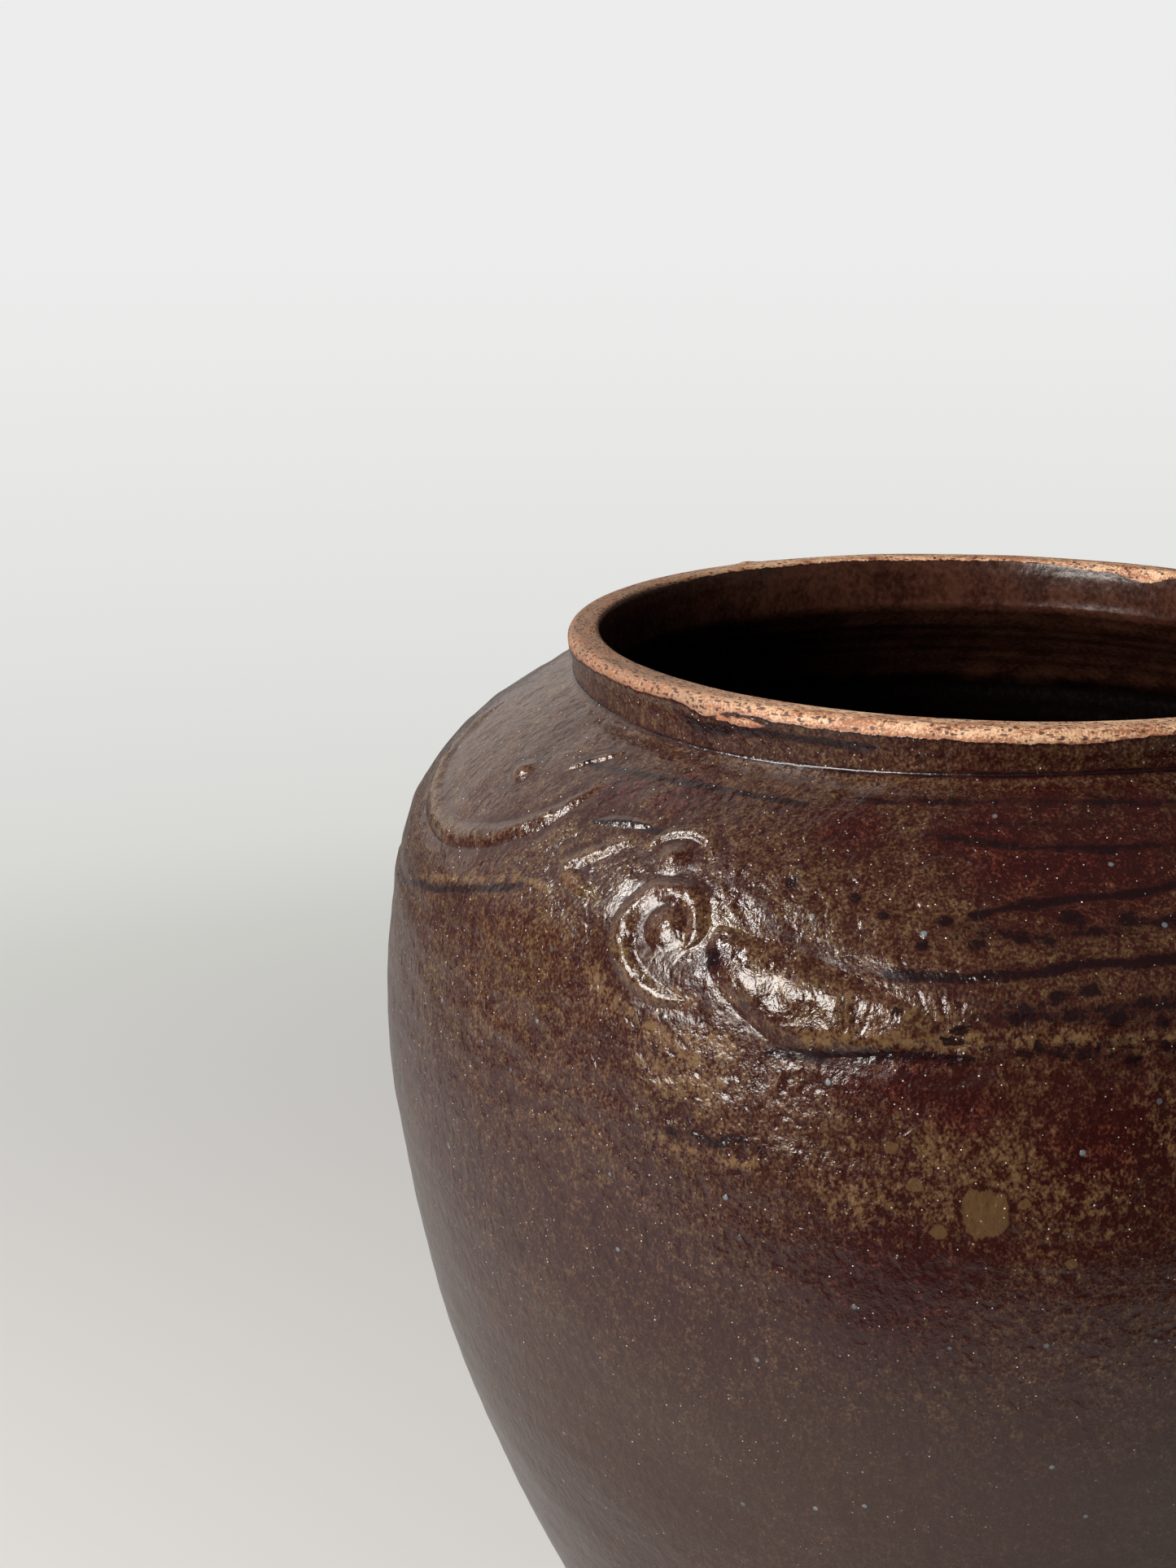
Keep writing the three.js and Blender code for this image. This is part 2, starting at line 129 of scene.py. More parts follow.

# %% [markdown]
# ## Floor and far background
# The jar stands before a seamless pale sheet. A curved sheet could be modelled, but then each side of
# the jar would have another background. A wide round floor looks the same from all sides: near the jar
# it is a real matt surface that takes the shadow, and far away it glows in the colour of the world, so
# that no horizon shows. The glaze mirrors what lies round it, and for the jar's own rays the floor
# carries painted shade: dark in front, dim at its left end and a little shaded elsewhere.

# %% Floor
FLOOR_RADIUS, FLOOR_CORNERS = 8.0, 96
FADE_START, FADE_END = 0.36, 0.95
PAPER = linear("d7d9db")
NEAR_GLOW, FAR_GLOW = linear("d3d4cf"), linear("ecedec")
GLOW_START, GLOW_END = 0.75, 7.9
# Painted shade on the floor, seen only by the jar's own rays: dark beyond an edge in front, dim at the left
# end, a little shaded elsewhere.
PAINTED_SHADE_EDGE, PAINTED_SHADE_BLUR = -0.42, 0.12
PAINTED_SHADE_DARK = linear("3a3633")
MIRRORED_SHADE = 0.34
LEFT_EDGE, LEFT_BLUR, LEFT_SHADE = -0.7, 0.3, 0.62
angles = np.linspace(0, 2 * np.pi, FLOOR_CORNERS, endpoint=False)
floor_mesh = bpy.data.meshes.new("floor")
rim_points = np.stack([np.cos(angles), np.sin(angles), 0 * angles], -1) * FLOOR_RADIUS
floor_mesh.from_pydata(rim_points.tolist(), [], [list(range(len(angles)))])
floor = bpy.data.objects.new("floor", floor_mesh)
bpy.context.collection.objects.link(floor)
material, tree, output = new_material("matt_paper_sheet")
place = add(tree, "TexCoord").outputs["Object"]
eye_ray = add(tree, "LightPath").outputs["Is Camera Ray"]
distance = add(tree, "VectorMath", {"operation": "LENGTH"}, {0: place})
far = add(tree, "MapRange", EVEN_S, {"Value": distance, "From Min": FADE_START, "From Max": FADE_END})
seen = add(tree, "Math", TIMES, {0: far, 1: eye_ray})
aside, ahead, _ = add(tree, "SeparateXYZ", None, {0: place}).outputs
front = add(tree, "MapRange", EVEN_S,
            {"Value": ahead, "From Min": PAINTED_SHADE_EDGE + PAINTED_SHADE_BLUR, "From Max": PAINTED_SHADE_EDGE - PAINTED_SHADE_BLUR,
             "To Min": MIRRORED_SHADE})
left_end = add(tree, "MapRange", EVEN_S, {"Value": aside, "From Min": LEFT_EDGE + LEFT_BLUR,
                                          "From Max": LEFT_EDGE - LEFT_BLUR, "To Max": LEFT_SHADE})
dark_part = add(tree, "Math", {"operation": "MAXIMUM"}, {0: front, 1: left_end})
unseen = add(tree, "Math", MINUS, {0: 1.0, 1: eye_ray})
shade = add(tree, "Math", TIMES, {0: dark_part, 1: unseen})
shaded_paper = add(tree, "Mix", COLOURS, {0: shade, 6: PAPER, 7: PAINTED_SHADE_DARK})
paper = add(tree, "BsdfDiffuse", None, {"Color": shaded_paper})
closeness = add(tree, "Math", {"operation": "DIVIDE"}, {0: 1.0, 1: distance})
reach = add(tree, "MapRange", None,
            {"Value": closeness, "From Min": 1 / GLOW_START, "From Max": 1 / GLOW_END})
glow_colour = add(tree, "Mix", COLOURS, {0: reach, 6: NEAR_GLOW, 7: FAR_GLOW})
glow = add(tree, "Emission", None, {"Color": glow_colour})
blend = add(tree, "MixShader", None, {"Fac": seen, 1: paper, 2: glow})
tree.links.new(blend.outputs["Shader"], output.inputs["Surface"])
floor_mesh.materials.append(material)
floor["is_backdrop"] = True
print("floor radius", FLOOR_RADIUS)

# %% [markdown]
# ## Light
# A soft square lamp like a window stands to the left in front, and a smaller one like its upper pane
# hangs further left and higher. Together they draw the slanting chain of glints over the eye, the scroll
# and the swelling tail, and light the far wall inside. The room is bright only behind and to the left,
# where the pale sheet hangs, so the glaze is dark where it faces the viewer and silvery where it turns
# away. One even light all round would be simpler, but it would flatten the relief.
# The world holds both: its pale colour for the camera, and this room for the light.

# %% Lamps and world
LAMP_DISTANCE = 1.7
LAMP_COLOUR = (1.0, 0.955, 0.9)
AIM = np.array([0, 0, 0.25])
# Direction from the jar, width and height in metres, and power in watts
LAMPS = {"window": ((-0.65, -0.66, 0.31), 0.84, 0.84, 36),
         "upper_pane": ((-0.70, -0.15, 0.66), 0.40, 0.42, 14)}
for name, (direction, width, tall, power) in LAMPS.items():
    lamp = bpy.data.objects.new(name, bpy.data.lights.new(name, "AREA"))
    lamp.data.shape = "RECTANGLE"
    lamp.data.size, lamp.data.size_y = width, tall
    lamp.data.energy = power
    lamp.data.color = LAMP_COLOUR
    towards = np.array(direction) / np.linalg.norm(direction)
    lamp.location = towards * LAMP_DISTANCE + AIM
    lamp.rotation_euler = (np.arccos(towards[2]), 0, np.arctan2(towards[1], towards[0]) + np.pi / 2)
    bpy.context.collection.objects.link(lamp)

ROOM_BRIGHT, ROOM_DIM = 0.8, 0.1
ROOM_SIDE = (-0.45, 0.83, 0.33)
ROOM_FROM, ROOM_TO = 0.58, 1.0
ROOM_COLOUR = linear("fff6ee")
world = bpy.data.worlds.new("room")
world.use_nodes = True
tree = world.node_tree
tree.nodes.clear()
direction = add(tree, "TexCoord").outputs["Generated"]
facing = add(tree, "VectorMath", {"operation": "DOT_PRODUCT"}, {0: direction, 1: ROOM_SIDE})
strength = add(tree, "MapRange", EVEN_S, {"Value": facing, "From Min": ROOM_FROM, "From Max": ROOM_TO,
                                          "To Min": ROOM_DIM, "To Max": ROOM_BRIGHT})
room = add(tree, "Background", None, {"Color": ROOM_COLOUR, "Strength": strength})
sheet_glow = add(tree, "Background", None, {"Color": FAR_GLOW})
eye_ray = add(tree, "LightPath").outputs["Is Camera Ray"]
both = add(tree, "MixShader", None, {"Fac": eye_ray, 1: room, 2: sheet_glow})
add(tree, "OutputWorld", None, {"Surface": both})
bpy.context.scene.world = world
bpy.context.scene.view_settings.view_transform = "Standard"
print("lamps", list(LAMPS))

# %% [markdown]
# ## The section of the jar
# A thrown or coiled pot is a section turned about an axis. The section could be drawn again, but the
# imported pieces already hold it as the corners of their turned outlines. This step reads those corners
# and runs a smooth curve through them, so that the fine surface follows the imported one.

# %% Read the outlines of the turned pieces, in millimetres
MM = 0.001
WALL_NODES = ("lower_wall", "belly_wall", "shoulder_dome")
# A face looks outwards, inwards or down past these shares of its normal
LOOKS_OUT, LOOKS_IN, LOOKS_DOWN = 0.45, -0.3, -0.3


def corners(node, looking):
    """(radius, height) of the corners of a turned node whose faces look outwards, inwards or down."""
    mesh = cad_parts[node].data
    points = np.empty(len(mesh.vertices) * 3)
    mesh.vertices.foreach_get("co", points)
    index = np.empty(len(mesh.loops), int)
    mesh.loops.foreach_get("vertex_index", index)
    normals = np.empty(len(mesh.polygons) * 3)
    mesh.polygons.foreach_get("normal", normals)
    faces = points.reshape(-1, 3)[index].reshape(-1, 3, 3) / MM
    normals = normals.reshape(-1, 3)
    middle = faces.mean(1)
    outward = (normals * middle)[:, :2].sum(1) / np.hypot(middle[:, 0], middle[:, 1])
    wanted = {"out": outward > LOOKS_OUT, "in": outward < LOOKS_IN,
              "down": normals[:, 2] < LOOKS_DOWN}[looking]
    chosen = faces[wanted].reshape(-1, 3)
    section = np.stack([np.hypot(chosen[:, 0], chosen[:, 1]), chosen[:, 2]], -1)
    section = np.unique(section.round(2), axis=0)
    return section[np.argsort(section[:, 1], kind="stable")]


for node in WALL_NODES:
    print(node, "outside corners", len(corners(node, "out")), "inside corners", len(corners(node, "in")))

# %% Smooth curve through corners
def smooth_through(points, spacing=0.4):
    """A cubic through each pair of points by chord length, bending evenly where two of them meet."""
    chord = np.hypot(*np.diff(points, axis=0).T)
    knots = np.concatenate([[0], np.cumsum(chord)])
    count = len(points)
    system = np.eye(count)
    right = np.zeros((count, 2))
    inner = np.arange(1, count - 1)
    system[inner, inner - 1] = chord[:-1]
    system[inner, inner] = 2 * (chord[:-1] + chord[1:])
    system[inner, inner + 1] = chord[1:]
    slopes = np.diff(points, axis=0) / chord[:, None]
    right[inner] = 6 * np.diff(slopes, axis=0)
    bend = np.linalg.solve(system, right)
    at = np.linspace(0, knots[-1], int(knots[-1] / spacing) + 2)
    piece = np.clip(np.searchsorted(knots, at, side="right") - 1, 0, count - 2)
    after, before = (at - knots[piece])[:, None], (knots[piece + 1] - at)[:, None]
    span = chord[piece][:, None]
    return ((bend[piece] * before ** 3 + bend[piece + 1] * after ** 3) / (6 * span)
            + (points[piece] / span - bend[piece] * span / 6) * before
            + (points[piece + 1] / span - bend[piece + 1] * span / 6) * after)


LEDGE_FADE = 30.0
lower_out, belly_out, shoulder_out = (corners(node, "out") for node in WALL_NODES)
lower_seam, shoulder_seam = lower_out[-1, 1], belly_out[-1, 1]
below_ledge = belly_out[belly_out[:, 1] < shoulder_seam - LEDGE_FADE]
outside = smooth_through(np.vstack([lower_out, below_ledge[1:], belly_out[-1:], shoulder_out[1:]]))
inside_corners = np.vstack([corners("lower_wall", "in"), corners("belly_wall", "in")[1:],
                            corners("shoulder_dome", "in")[1:]])
inside = smooth_through(inside_corners)[::-1]
print("seams at", lower_seam, shoulder_seam, "outside points", len(outside), "inside points", len(inside))

# %% [markdown]
# ## One closed path round the section
# The path starts under the foot, climbs the outside, crosses the lip and comes down inside to the floor
# of the jar. Each stretch of it belongs to one clay piece, so the joints are marks on one path, and the
# glaze can run over them without a break. The corner fillets are the coils that a potter smooths in
# with a fingertip: the one inside is soft, and the one at the foot of the neck is tight. From there the
# collar leans out by a millimetre on its way up to the lip.

# %% Stretches of the section
def corner_box(node):
    """Outer radius, lowest and highest level of a turned node, in millimetres."""
    low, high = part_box(node)
    return high[0] / MM, low[2] / MM, high[2] / MM


def fillet(start, corner, end, hollow=0.33, count=24):
    """A cubic curve from start to end. Its two handles lie near the corner, and nearer to it for a
    smaller hollow, which makes a tighter turn."""
    start, corner, end = (np.array(point) for point in (start, corner, end))
    low, high = corner + hollow * (start - corner), corner + hollow * (end - corner)
    t = np.linspace(0, 1, count)[:, None]
    return (1 - t) ** 3 * start + 3 * t * (1 - t) ** 2 * low + 3 * t ** 2 * (1 - t) * high + t ** 3 * end


def arc(centre, radius, start, end, count=10):
    """Part of a circle between two angles in degrees."""
    a = np.radians(np.linspace(start, end, count))
    return np.stack([centre[0] + radius * np.cos(a), centre[1] + radius * np.sin(a)], -1)


def between(line, low, high):
    """The points of a rising or falling line between two heights."""
    return line[(line[:, 1] >= low) & (line[:, 1] <= high)]


neck_radius, neck_bottom, _ = corner_box("neck_collar")
coil_radius, _, coil_top = corner_box("neck_luting_coil")
lip_radius, lip_bottom, jar_height = corner_box("mouth_lip")
_, floor_level, base_coil_top = corner_box("base_seam_coil")
FLOOR_UNDER_COIL, LIP_INNER_STEP = 0.3, 0.3
floor_level -= FLOOR_UNDER_COIL
lip_inner = corners("mouth_lip", "in")[:, 0].min() + LIP_INNER_STEP
neck_inner = corners("neck_collar", "in")[:, 0].min()
neck_seam = shoulder_out[-1, 1]
OUTER_ROUND, INNER_ROUND = 2.2, 1.3
COLLAR_FLARE = 1.0
NECK_HOLLOW = 0.02
INNER_SEAM_RISE = 3
TOE_WIDTH, TOE_START = 12.0, 3.5
collar_foot = neck_radius - COLLAR_FLARE
foot_corners = corners("base_disc", "down")
foot_corners = foot_corners[np.argsort(foot_corners[:, 0])]
base_joint = lower_out[0, 1]
foot_radius = corner_box("base_disc")[0]
inner_foot = inside_corners[0, 0]
toe_radius = inner_foot - TOE_WIDTH
inner_lower, inner_upper = lower_seam + INNER_SEAM_RISE, shoulder_seam + INNER_SEAM_RISE
stretches = {
    "underside": np.vstack([foot_corners, [[foot_radius, base_joint]]]),
    "lower": between(outside, base_joint, lower_seam),
    "belly": between(outside, lower_seam, shoulder_seam),
    "shoulder": between(outside, shoulder_seam, neck_seam),
    "fillet": fillet((coil_radius, neck_seam), (collar_foot - 0.2, neck_seam + 2.2),
                     (collar_foot + 0.15, coil_top + 0.6), NECK_HOLLOW),
    "collar": np.array([[collar_foot + 0.25, coil_top + 1.6], [neck_radius, lip_bottom]]),
    "lip": np.vstack([[[neck_radius + 0.1, lip_bottom + 0.4]],
                      arc((lip_radius - OUTER_ROUND, jar_height - OUTER_ROUND), OUTER_ROUND, 0, 90),
                      arc((lip_inner + INNER_ROUND, jar_height - INNER_ROUND), INNER_ROUND, 90, 180),
                      [[neck_inner, lip_bottom + 1]]]),
    "collar_inside": np.array([[neck_inner, lip_bottom - 1], [neck_inner, neck_seam]]),
    "shoulder_inside": between(inside, inner_upper, neck_seam - 0.4),
    "belly_inside": between(inside, inner_lower, inner_upper),
    "lower_inside": between(inside, base_coil_top, inner_lower),
    "base_fillet": fillet((inner_foot + TOE_START, base_coil_top), (inner_foot, floor_level),
                          (toe_radius, floor_level)),
    "floor": np.array([[toe_radius - 1, floor_level], [0, floor_level]]),
}
print({name: len(points) for name, points in stretches.items()})

# %% Even steps along the path, softened at its corners
STEP = 0.2
SOFTENING, BELL_STEPS = 0.45, 12
path = np.vstack(list(stretches.values()))
lengths = np.concatenate([[0], np.cumsum(np.hypot(*np.diff(path, axis=0).T))])
ends = np.cumsum([len(points) for points in stretches.values()])
mark = {name: lengths[end - 1] for name, end in zip(stretches, ends)}
ways = np.arange(0, lengths[-1], STEP)
bell = np.exp(-0.5 * (np.arange(-BELL_STEPS, BELL_STEPS + 1) * STEP / SOFTENING) ** 2)
bell /= bell.sum()
section = np.stack([np.interp(ways, lengths, path[:, k]) for k in (0, 1)])
section = np.stack([np.convolve(np.pad(line, BELL_STEPS, mode="edge"), bell, mode="valid")
                    for line in section])
section[0, [0, -1]] = 0
along_r, along_z = np.gradient(section, axis=1)
size = np.hypot(along_r, along_z)
normal_r, normal_z = along_z / size, -along_r / size
print("path length", round(lengths[-1], 1), {name: round(way, 1) for name, way in mark.items()})

# %% [markdown]
# ## Handwork
# No two handspans of such a jar are alike. A sculpted mesh would show that, but it couldn't be worked
# out again by others. A sum of slow waves round and up the wall, with the faint rings of the potter's
# fingers, does it with few numbers, and as the waves close on themselves round the jar there is no seam.
# Random heights on a lattice add lumps, mostly on the shoulder. Over these lie the places that the
# photograph shows: a slack ledge under the shoulder joint, a swell of the left shoulder, a groove with a
# roll under it at the foot of the neck, and a lump on the lip.

# %% Waves of the wall
chance = np.random.default_rng(7)


def waves(count, turns, lengths_mm, height_mm):
    """Random waves: whole turns round the jar, wave length along the path, phase and height."""
    return np.stack([chance.integers(*turns, count), chance.uniform(*lengths_mm, count),
                     chance.uniform(0, 2 * np.pi, count), chance.uniform(0.5, 1, count) * height_mm], -1)


WALL_WAVES = np.vstack([waves(6, (2, 5), (120, 300), 0.10), waves(12, (6, 18), (25, 80), 0.04)])
ROUND_MM, PATH_MM = 800.0, 900


def lumps(seed, cell_mm, stretch=1.0):
    """Random heights on a lattice round the jar: cells along the path and, stretched, round the turn."""
    across = int(ROUND_MM / (cell_mm * stretch))
    return np.random.default_rng(seed).uniform(-1, 1, (int(PATH_MM / cell_mm), across)), cell_mm


def lattice(turn, way, grid, cell_mm):
    """The lattice's value between its corners, by the even S of both shares."""
    row, column = way / cell_mm, (turn % (2 * np.pi)) / (2 * np.pi) * grid.shape[1]
    i, j = np.floor(row).astype(int), np.floor(column).astype(int)
    u, v = row - i, column - j
    u, v = u * u * (3 - 2 * u), v * v * (3 - 2 * v)
    i, i_next, j, j_next = (k % grid.shape[axis] for k, axis in ((i, 0), (i + 1, 0), (j, 1), (j + 1, 1)))
    low = grid[i, j] * (1 - v) + grid[i, j_next] * v
    high = grid[i_next, j] * (1 - v) + grid[i_next, j_next] * v
    return low * (1 - u) + high * u


WALL_LUMPS = [(lumps(11, 17, 1.6), 0.24), (lumps(12, 7.3), 0.15), (lumps(13, 3.4, 1.4), 0.14)]
PLAIN_LUMPS, SHOULDER_LUMPS, SHOULDER_APPROACH = 0.3, 0.7, 60
NECK_LUMPS = lumps(14, 9, 1.0)
PRESSED_LUMPS, PRESSED_SHARE = lumps(15, 3.8), 0.25
turning = np.abs(np.gradient(np.arctan2(along_z, along_r)))
turning = turning * (ways > mark["shoulder"]) * (ways < mark["fillet"])
NECK_CORNER = ways[np.argmax(turning)]
NECK_CALM, WALL_CALM, NECK_APPROACH = 0.35, 0.65, 8
FOOT_FADE_FROM, FOOT_FADE_TO = -6, 20
print("waves", len(WALL_WAVES), "largest height", round(float(WALL_WAVES[:, 3].sum()), 2))

# %% Places of the handwork, in millimetres and, round the jar, in degrees
GROOVE_DEPTH, GROOVE_WIDTH = 0.45, 0.5
GROOVE_SIDE = np.radians(-85)
GROOVE_MEAN, GROOVE_VARIES = 0.62, 0.38
ROLL_HEIGHT, ROLL_WIDTH, ROLL_BELOW = 0.4, 0.8, 1.3
ROLL_EVEN, ROLL_LUMPY = 0.75, 0.25
SWELL_HEIGHT, SWELL_MIDDLE, SWELL_REACH = 1.3, 19.0, 15.0
SWELL_TURN = (-180, 45)
RING_SPACING, RING_HEIGHT, RING_MORE_INSIDE = 8.5, 0.035, 0.12
RING_SWAY, RING_DRIFT, RING_DRIFT_MM = 0.8, 0.5, 19
LEDGE_HEIGHT, LEDGE_BACK, LEDGE_FRONT = 0.75, -0.9, 1.1
LEDGE_EVERYWHERE, LEDGE_MORE = 0.15, 0.85
LEDGE_LEFT, LEDGE_BEHIND = (-172, 12), (60, 60)
RIM_LUMP_TURN, RIM_LUMP_HEIGHT = (121.4, 1.6), 1.1
RIM_LUMP_BEFORE, RIM_LUMP_REACH = 12, 2.0
FIRST_MOTIF = np.radians(-162)
NECK_LINE_SWAY, NECK_LINE_SIDE, NECK_LINE_FROM = 1.45, np.radians(136), 16
# Whole waves round the jar, phase and height
LEDGE_WAVES = ((3, 1, 1.2), (7, 0, 0.7))
print("heights of ledge, swell and lump", LEDGE_HEIGHT, SWELL_HEIGHT, RIM_LUMP_HEIGHT)

# %% Height of the handwork
def step_up(value, start, end):
    """0 before start, 1 after end, and an even S between."""
    t = np.clip((value - start) / (end - start), 0, 1)
    return t * t * (3 - 2 * t)


def bump(angle, middle, width):
    """A bell round the jar: 1 at the middle angle, falling off over a width, both in degrees."""
    apart = (np.degrees(angle) - middle + 180) % 360 - 180
    return np.exp(-(apart / width) ** 2)


def bell_at(way, middle, width):
    """A bell along the path: 1 at the middle way, falling off over a width, both in millimetres."""
    return np.exp(-((way - middle) / width) ** 2)


def swayed(line, turn, round_waves):
    """A line round the jar with waves laid over it: whole waves, phase and height of each."""
    for count, phase, height in round_waves:
        line = line + height * np.sin(count * turn + phase)
    return line


def groove_share(turn):
    """How deep the groove at the foot of the neck is: most on two opposite sides, less between them."""
    return GROOVE_MEAN + GROOVE_VARIES * np.cos(2 * (turn - GROOVE_SIDE))


def wall_height(turn, way):
    """Sum of the waves, the lumps and the finger rings. It is calmer on the neck, fades out over the floor
    towards the axis, and is nothing under the foot."""
    height = sum(h * np.sin(n * turn + 2 * np.pi * way / length + phase)
                 for n, length, phase, h in WALL_WAVES)
    shoulder_share = (step_up(way, mark["belly"] - SHOULDER_APPROACH, mark["belly"])
                      * (1 - step_up(way, mark["fillet"], mark["collar"])))
    lumpy = (sum(h * lattice(turn, way, *grid) for grid, h in WALL_LUMPS)
             * (PLAIN_LUMPS + SHOULDER_LUMPS * shoulder_share))
    rings = np.sin(2 * np.pi * way / RING_SPACING + RING_SWAY * np.sin(2 * turn)
                   + RING_DRIFT * np.sin(way / RING_DRIFT_MM))
    inner = step_up(way, mark["lip"], mark["collar_inside"])
    on_neck = step_up(way, mark["fillet"] - NECK_APPROACH, mark["fillet"]) * (1 - inner)
    calm = NECK_CALM + WALL_CALM * (1 - on_neck)
    foot = step_up(way, mark["underside"] + FOOT_FADE_FROM, mark["underside"] + FOOT_FADE_TO)
    floor_part = 1 - step_up(way, mark["base_fillet"], mark["floor"])
    return (height + lumpy + rings * (RING_HEIGHT + RING_MORE_INSIDE * inner)) * calm * foot * floor_part


def unevenness(turn, way):
    """Height of the handwork over the section: that of the wall, plus the ledge, the lump on the lip, the
    roll less the groove, and the swell of the shoulder."""
    below = swayed(mark["belly"], turn, LEDGE_WAVES) - way
    slack = np.maximum(bump(turn, *LEDGE_LEFT), bump(turn, *LEDGE_BEHIND))
    ledge = (LEDGE_HEIGHT * (LEDGE_EVERYWHERE + LEDGE_MORE * slack)
             * step_up(below, LEDGE_BACK, LEDGE_FRONT) * (1 - step_up(below, 0, LEDGE_FADE)))
    swell = (SWELL_HEIGHT * bump(turn, *SWELL_TURN)
             * bell_at(mark["shoulder"] - way, SWELL_MIDDLE, SWELL_REACH))
    roll = ROLL_HEIGHT * np.exp(-((way - NECK_CORNER + ROLL_BELOW) / ROLL_WIDTH) ** 2)
    groove = GROOVE_DEPTH * bell_at(way, NECK_CORNER, GROOVE_WIDTH)
    roll = (roll - groove) * groove_share(turn) * (ROLL_EVEN + ROLL_LUMPY * lattice(turn, way, *NECK_LUMPS))
    rim_lump = (RIM_LUMP_HEIGHT * bump(turn, *RIM_LUMP_TURN)
                * np.exp(-((way - mark["lip"] + RIM_LUMP_BEFORE) / RIM_LUMP_REACH) ** 2))
    return wall_height(turn, way) + ledge + rim_lump + roll + swell


print("foot of the neck at way", round(float(NECK_CORNER), 1))

# %% The skin of the jar
def neck_sway(turn, way):
    """How far the corner at the foot of the neck rises and falls, three times round the jar."""
    rise = step_up(way, mark["shoulder"] - NECK_LINE_FROM, mark["fillet"] - 1)
    fall = 1 - step_up(way, mark["fillet"] - 1, mark["collar"])
    return -NECK_LINE_SWAY * rise * fall * np.cos(3 * (turn + NECK_LINE_SIDE))


def skin(turn, way, lift=0.0):
    """The section's point at a way, moved along its normal by unevenness and lift, turned about Z."""
    r, z = np.interp(way, ways, section[0]), np.interp(way, ways, section[1])
    nr, nz = np.interp(way, ways, normal_r), np.interp(way, ways, normal_z)
    height = unevenness(turn, way) + lift
    radius = np.maximum(r + nr * height, 0)
    level = z + nz * height + neck_sway(turn, way)
    return np.stack([radius * np.cos(turn), radius * np.sin(turn), level + 0 * turn], -1)


TURN_STEP, WAY_STEP = 0.002, 0.35


def skin_normals(turn, way):
    """Cross product of the steps to the east and along the path."""
    east = skin(turn + TURN_STEP, way) - skin(turn - TURN_STEP, way)
    along = skin(turn, way + WAY_STEP) - skin(turn, way - WAY_STEP)
    normal = np.cross(east, along)
    return normal / np.maximum(np.linalg.norm(normal, axis=-1, keepdims=True), 1e-9)


print("steps to the neighbours of a point", TURN_STEP, WAY_STEP)

# %% [markdown]
# ## Where the sprigs lie
# The potter rolled thin strips and pressed them on while the shoulder was damp. Their places are the
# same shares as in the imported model: a share of one motif's third of a turn, and a share of the drop
# from the neck to the shoulder joint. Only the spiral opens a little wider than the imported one. They
# could be drawn on the round jar, but on the unrolled shoulder a route is a flat, smooth curve through a
# few such places.

# %% Routes of the ornament
MOTIFS = 3
MOTIF_TURN = 2 * np.pi / MOTIFS
SHEET_RADIUS = (coil_radius + belly_out[-1, 0]) / 2
shoulder_drop = mark["shoulder"] - mark["belly"]


def through(points, count=60):
    """A Catmull-Rom curve through the points, at even steps of its length."""
    points = np.array(points, float)
    padded = np.vstack([2 * points[0] - points[1], points, 2 * points[-1] - points[-2]])
    t = np.linspace(0, len(points) - 1, count * 4)
    i = np.minimum(t.astype(int), len(points) - 2)
    f = (t - i)[:, None]
    a, b, c, d = padded[i], padded[i + 1], padded[i + 2], padded[i + 3]
    line = 0.5 * (2 * b + (c - a) * f + (2 * a - 5 * b + 4 * c - d) * f ** 2
                  + (3 * b - a - 3 * c + d) * f ** 3)
    run = np.concatenate([[0], np.cumsum(np.linalg.norm(np.diff(line, axis=0), axis=1))])
    return np.stack([np.interp(np.linspace(0, run[-1], count), run, line[:, k]) for k in (0, 1)], -1)


def sheet(shares):
    """Shares of a motif's turn and of the drop, as millimetres on the unrolled shoulder."""
    return np.array(shares, float) * [MOTIF_TURN * SHEET_RADIUS, shoulder_drop]


def stretch_at(drop):
    """How much wider the sheet is than the jar at a drop below the neck."""
    return SHEET_RADIUS / np.interp(mark["shoulder"] - drop, ways, section[0])


EYE = sheet([0.3, 0.7])
LAPPET_SPREAD = 83.0
lappet_angle = np.radians(np.linspace(-79, 79, 140))
lappet_route = np.stack([LAPPET_SPREAD / 2 * np.sin(lappet_angle),
                         (0.1 + 0.58 * np.cos(lappet_angle)) * shoulder_drop], -1)
spiral_angle = np.radians(np.linspace(-35, 300, 90))
spiral_radius = np.interp(np.degrees(spiral_angle), [-35, 90, 180, 250, 300], [6.4, 7.4, 9.4, 12.0, 15.5])
spiral_turns = np.stack([np.cos(spiral_angle) * stretch_at(EYE[1]), -np.sin(spiral_angle)], -1)
spiral_route = EYE + spiral_turns * spiral_radius[:, None]
EVEN_SWELL = [0.4, 0.9, 1, 0.9, 0.4]
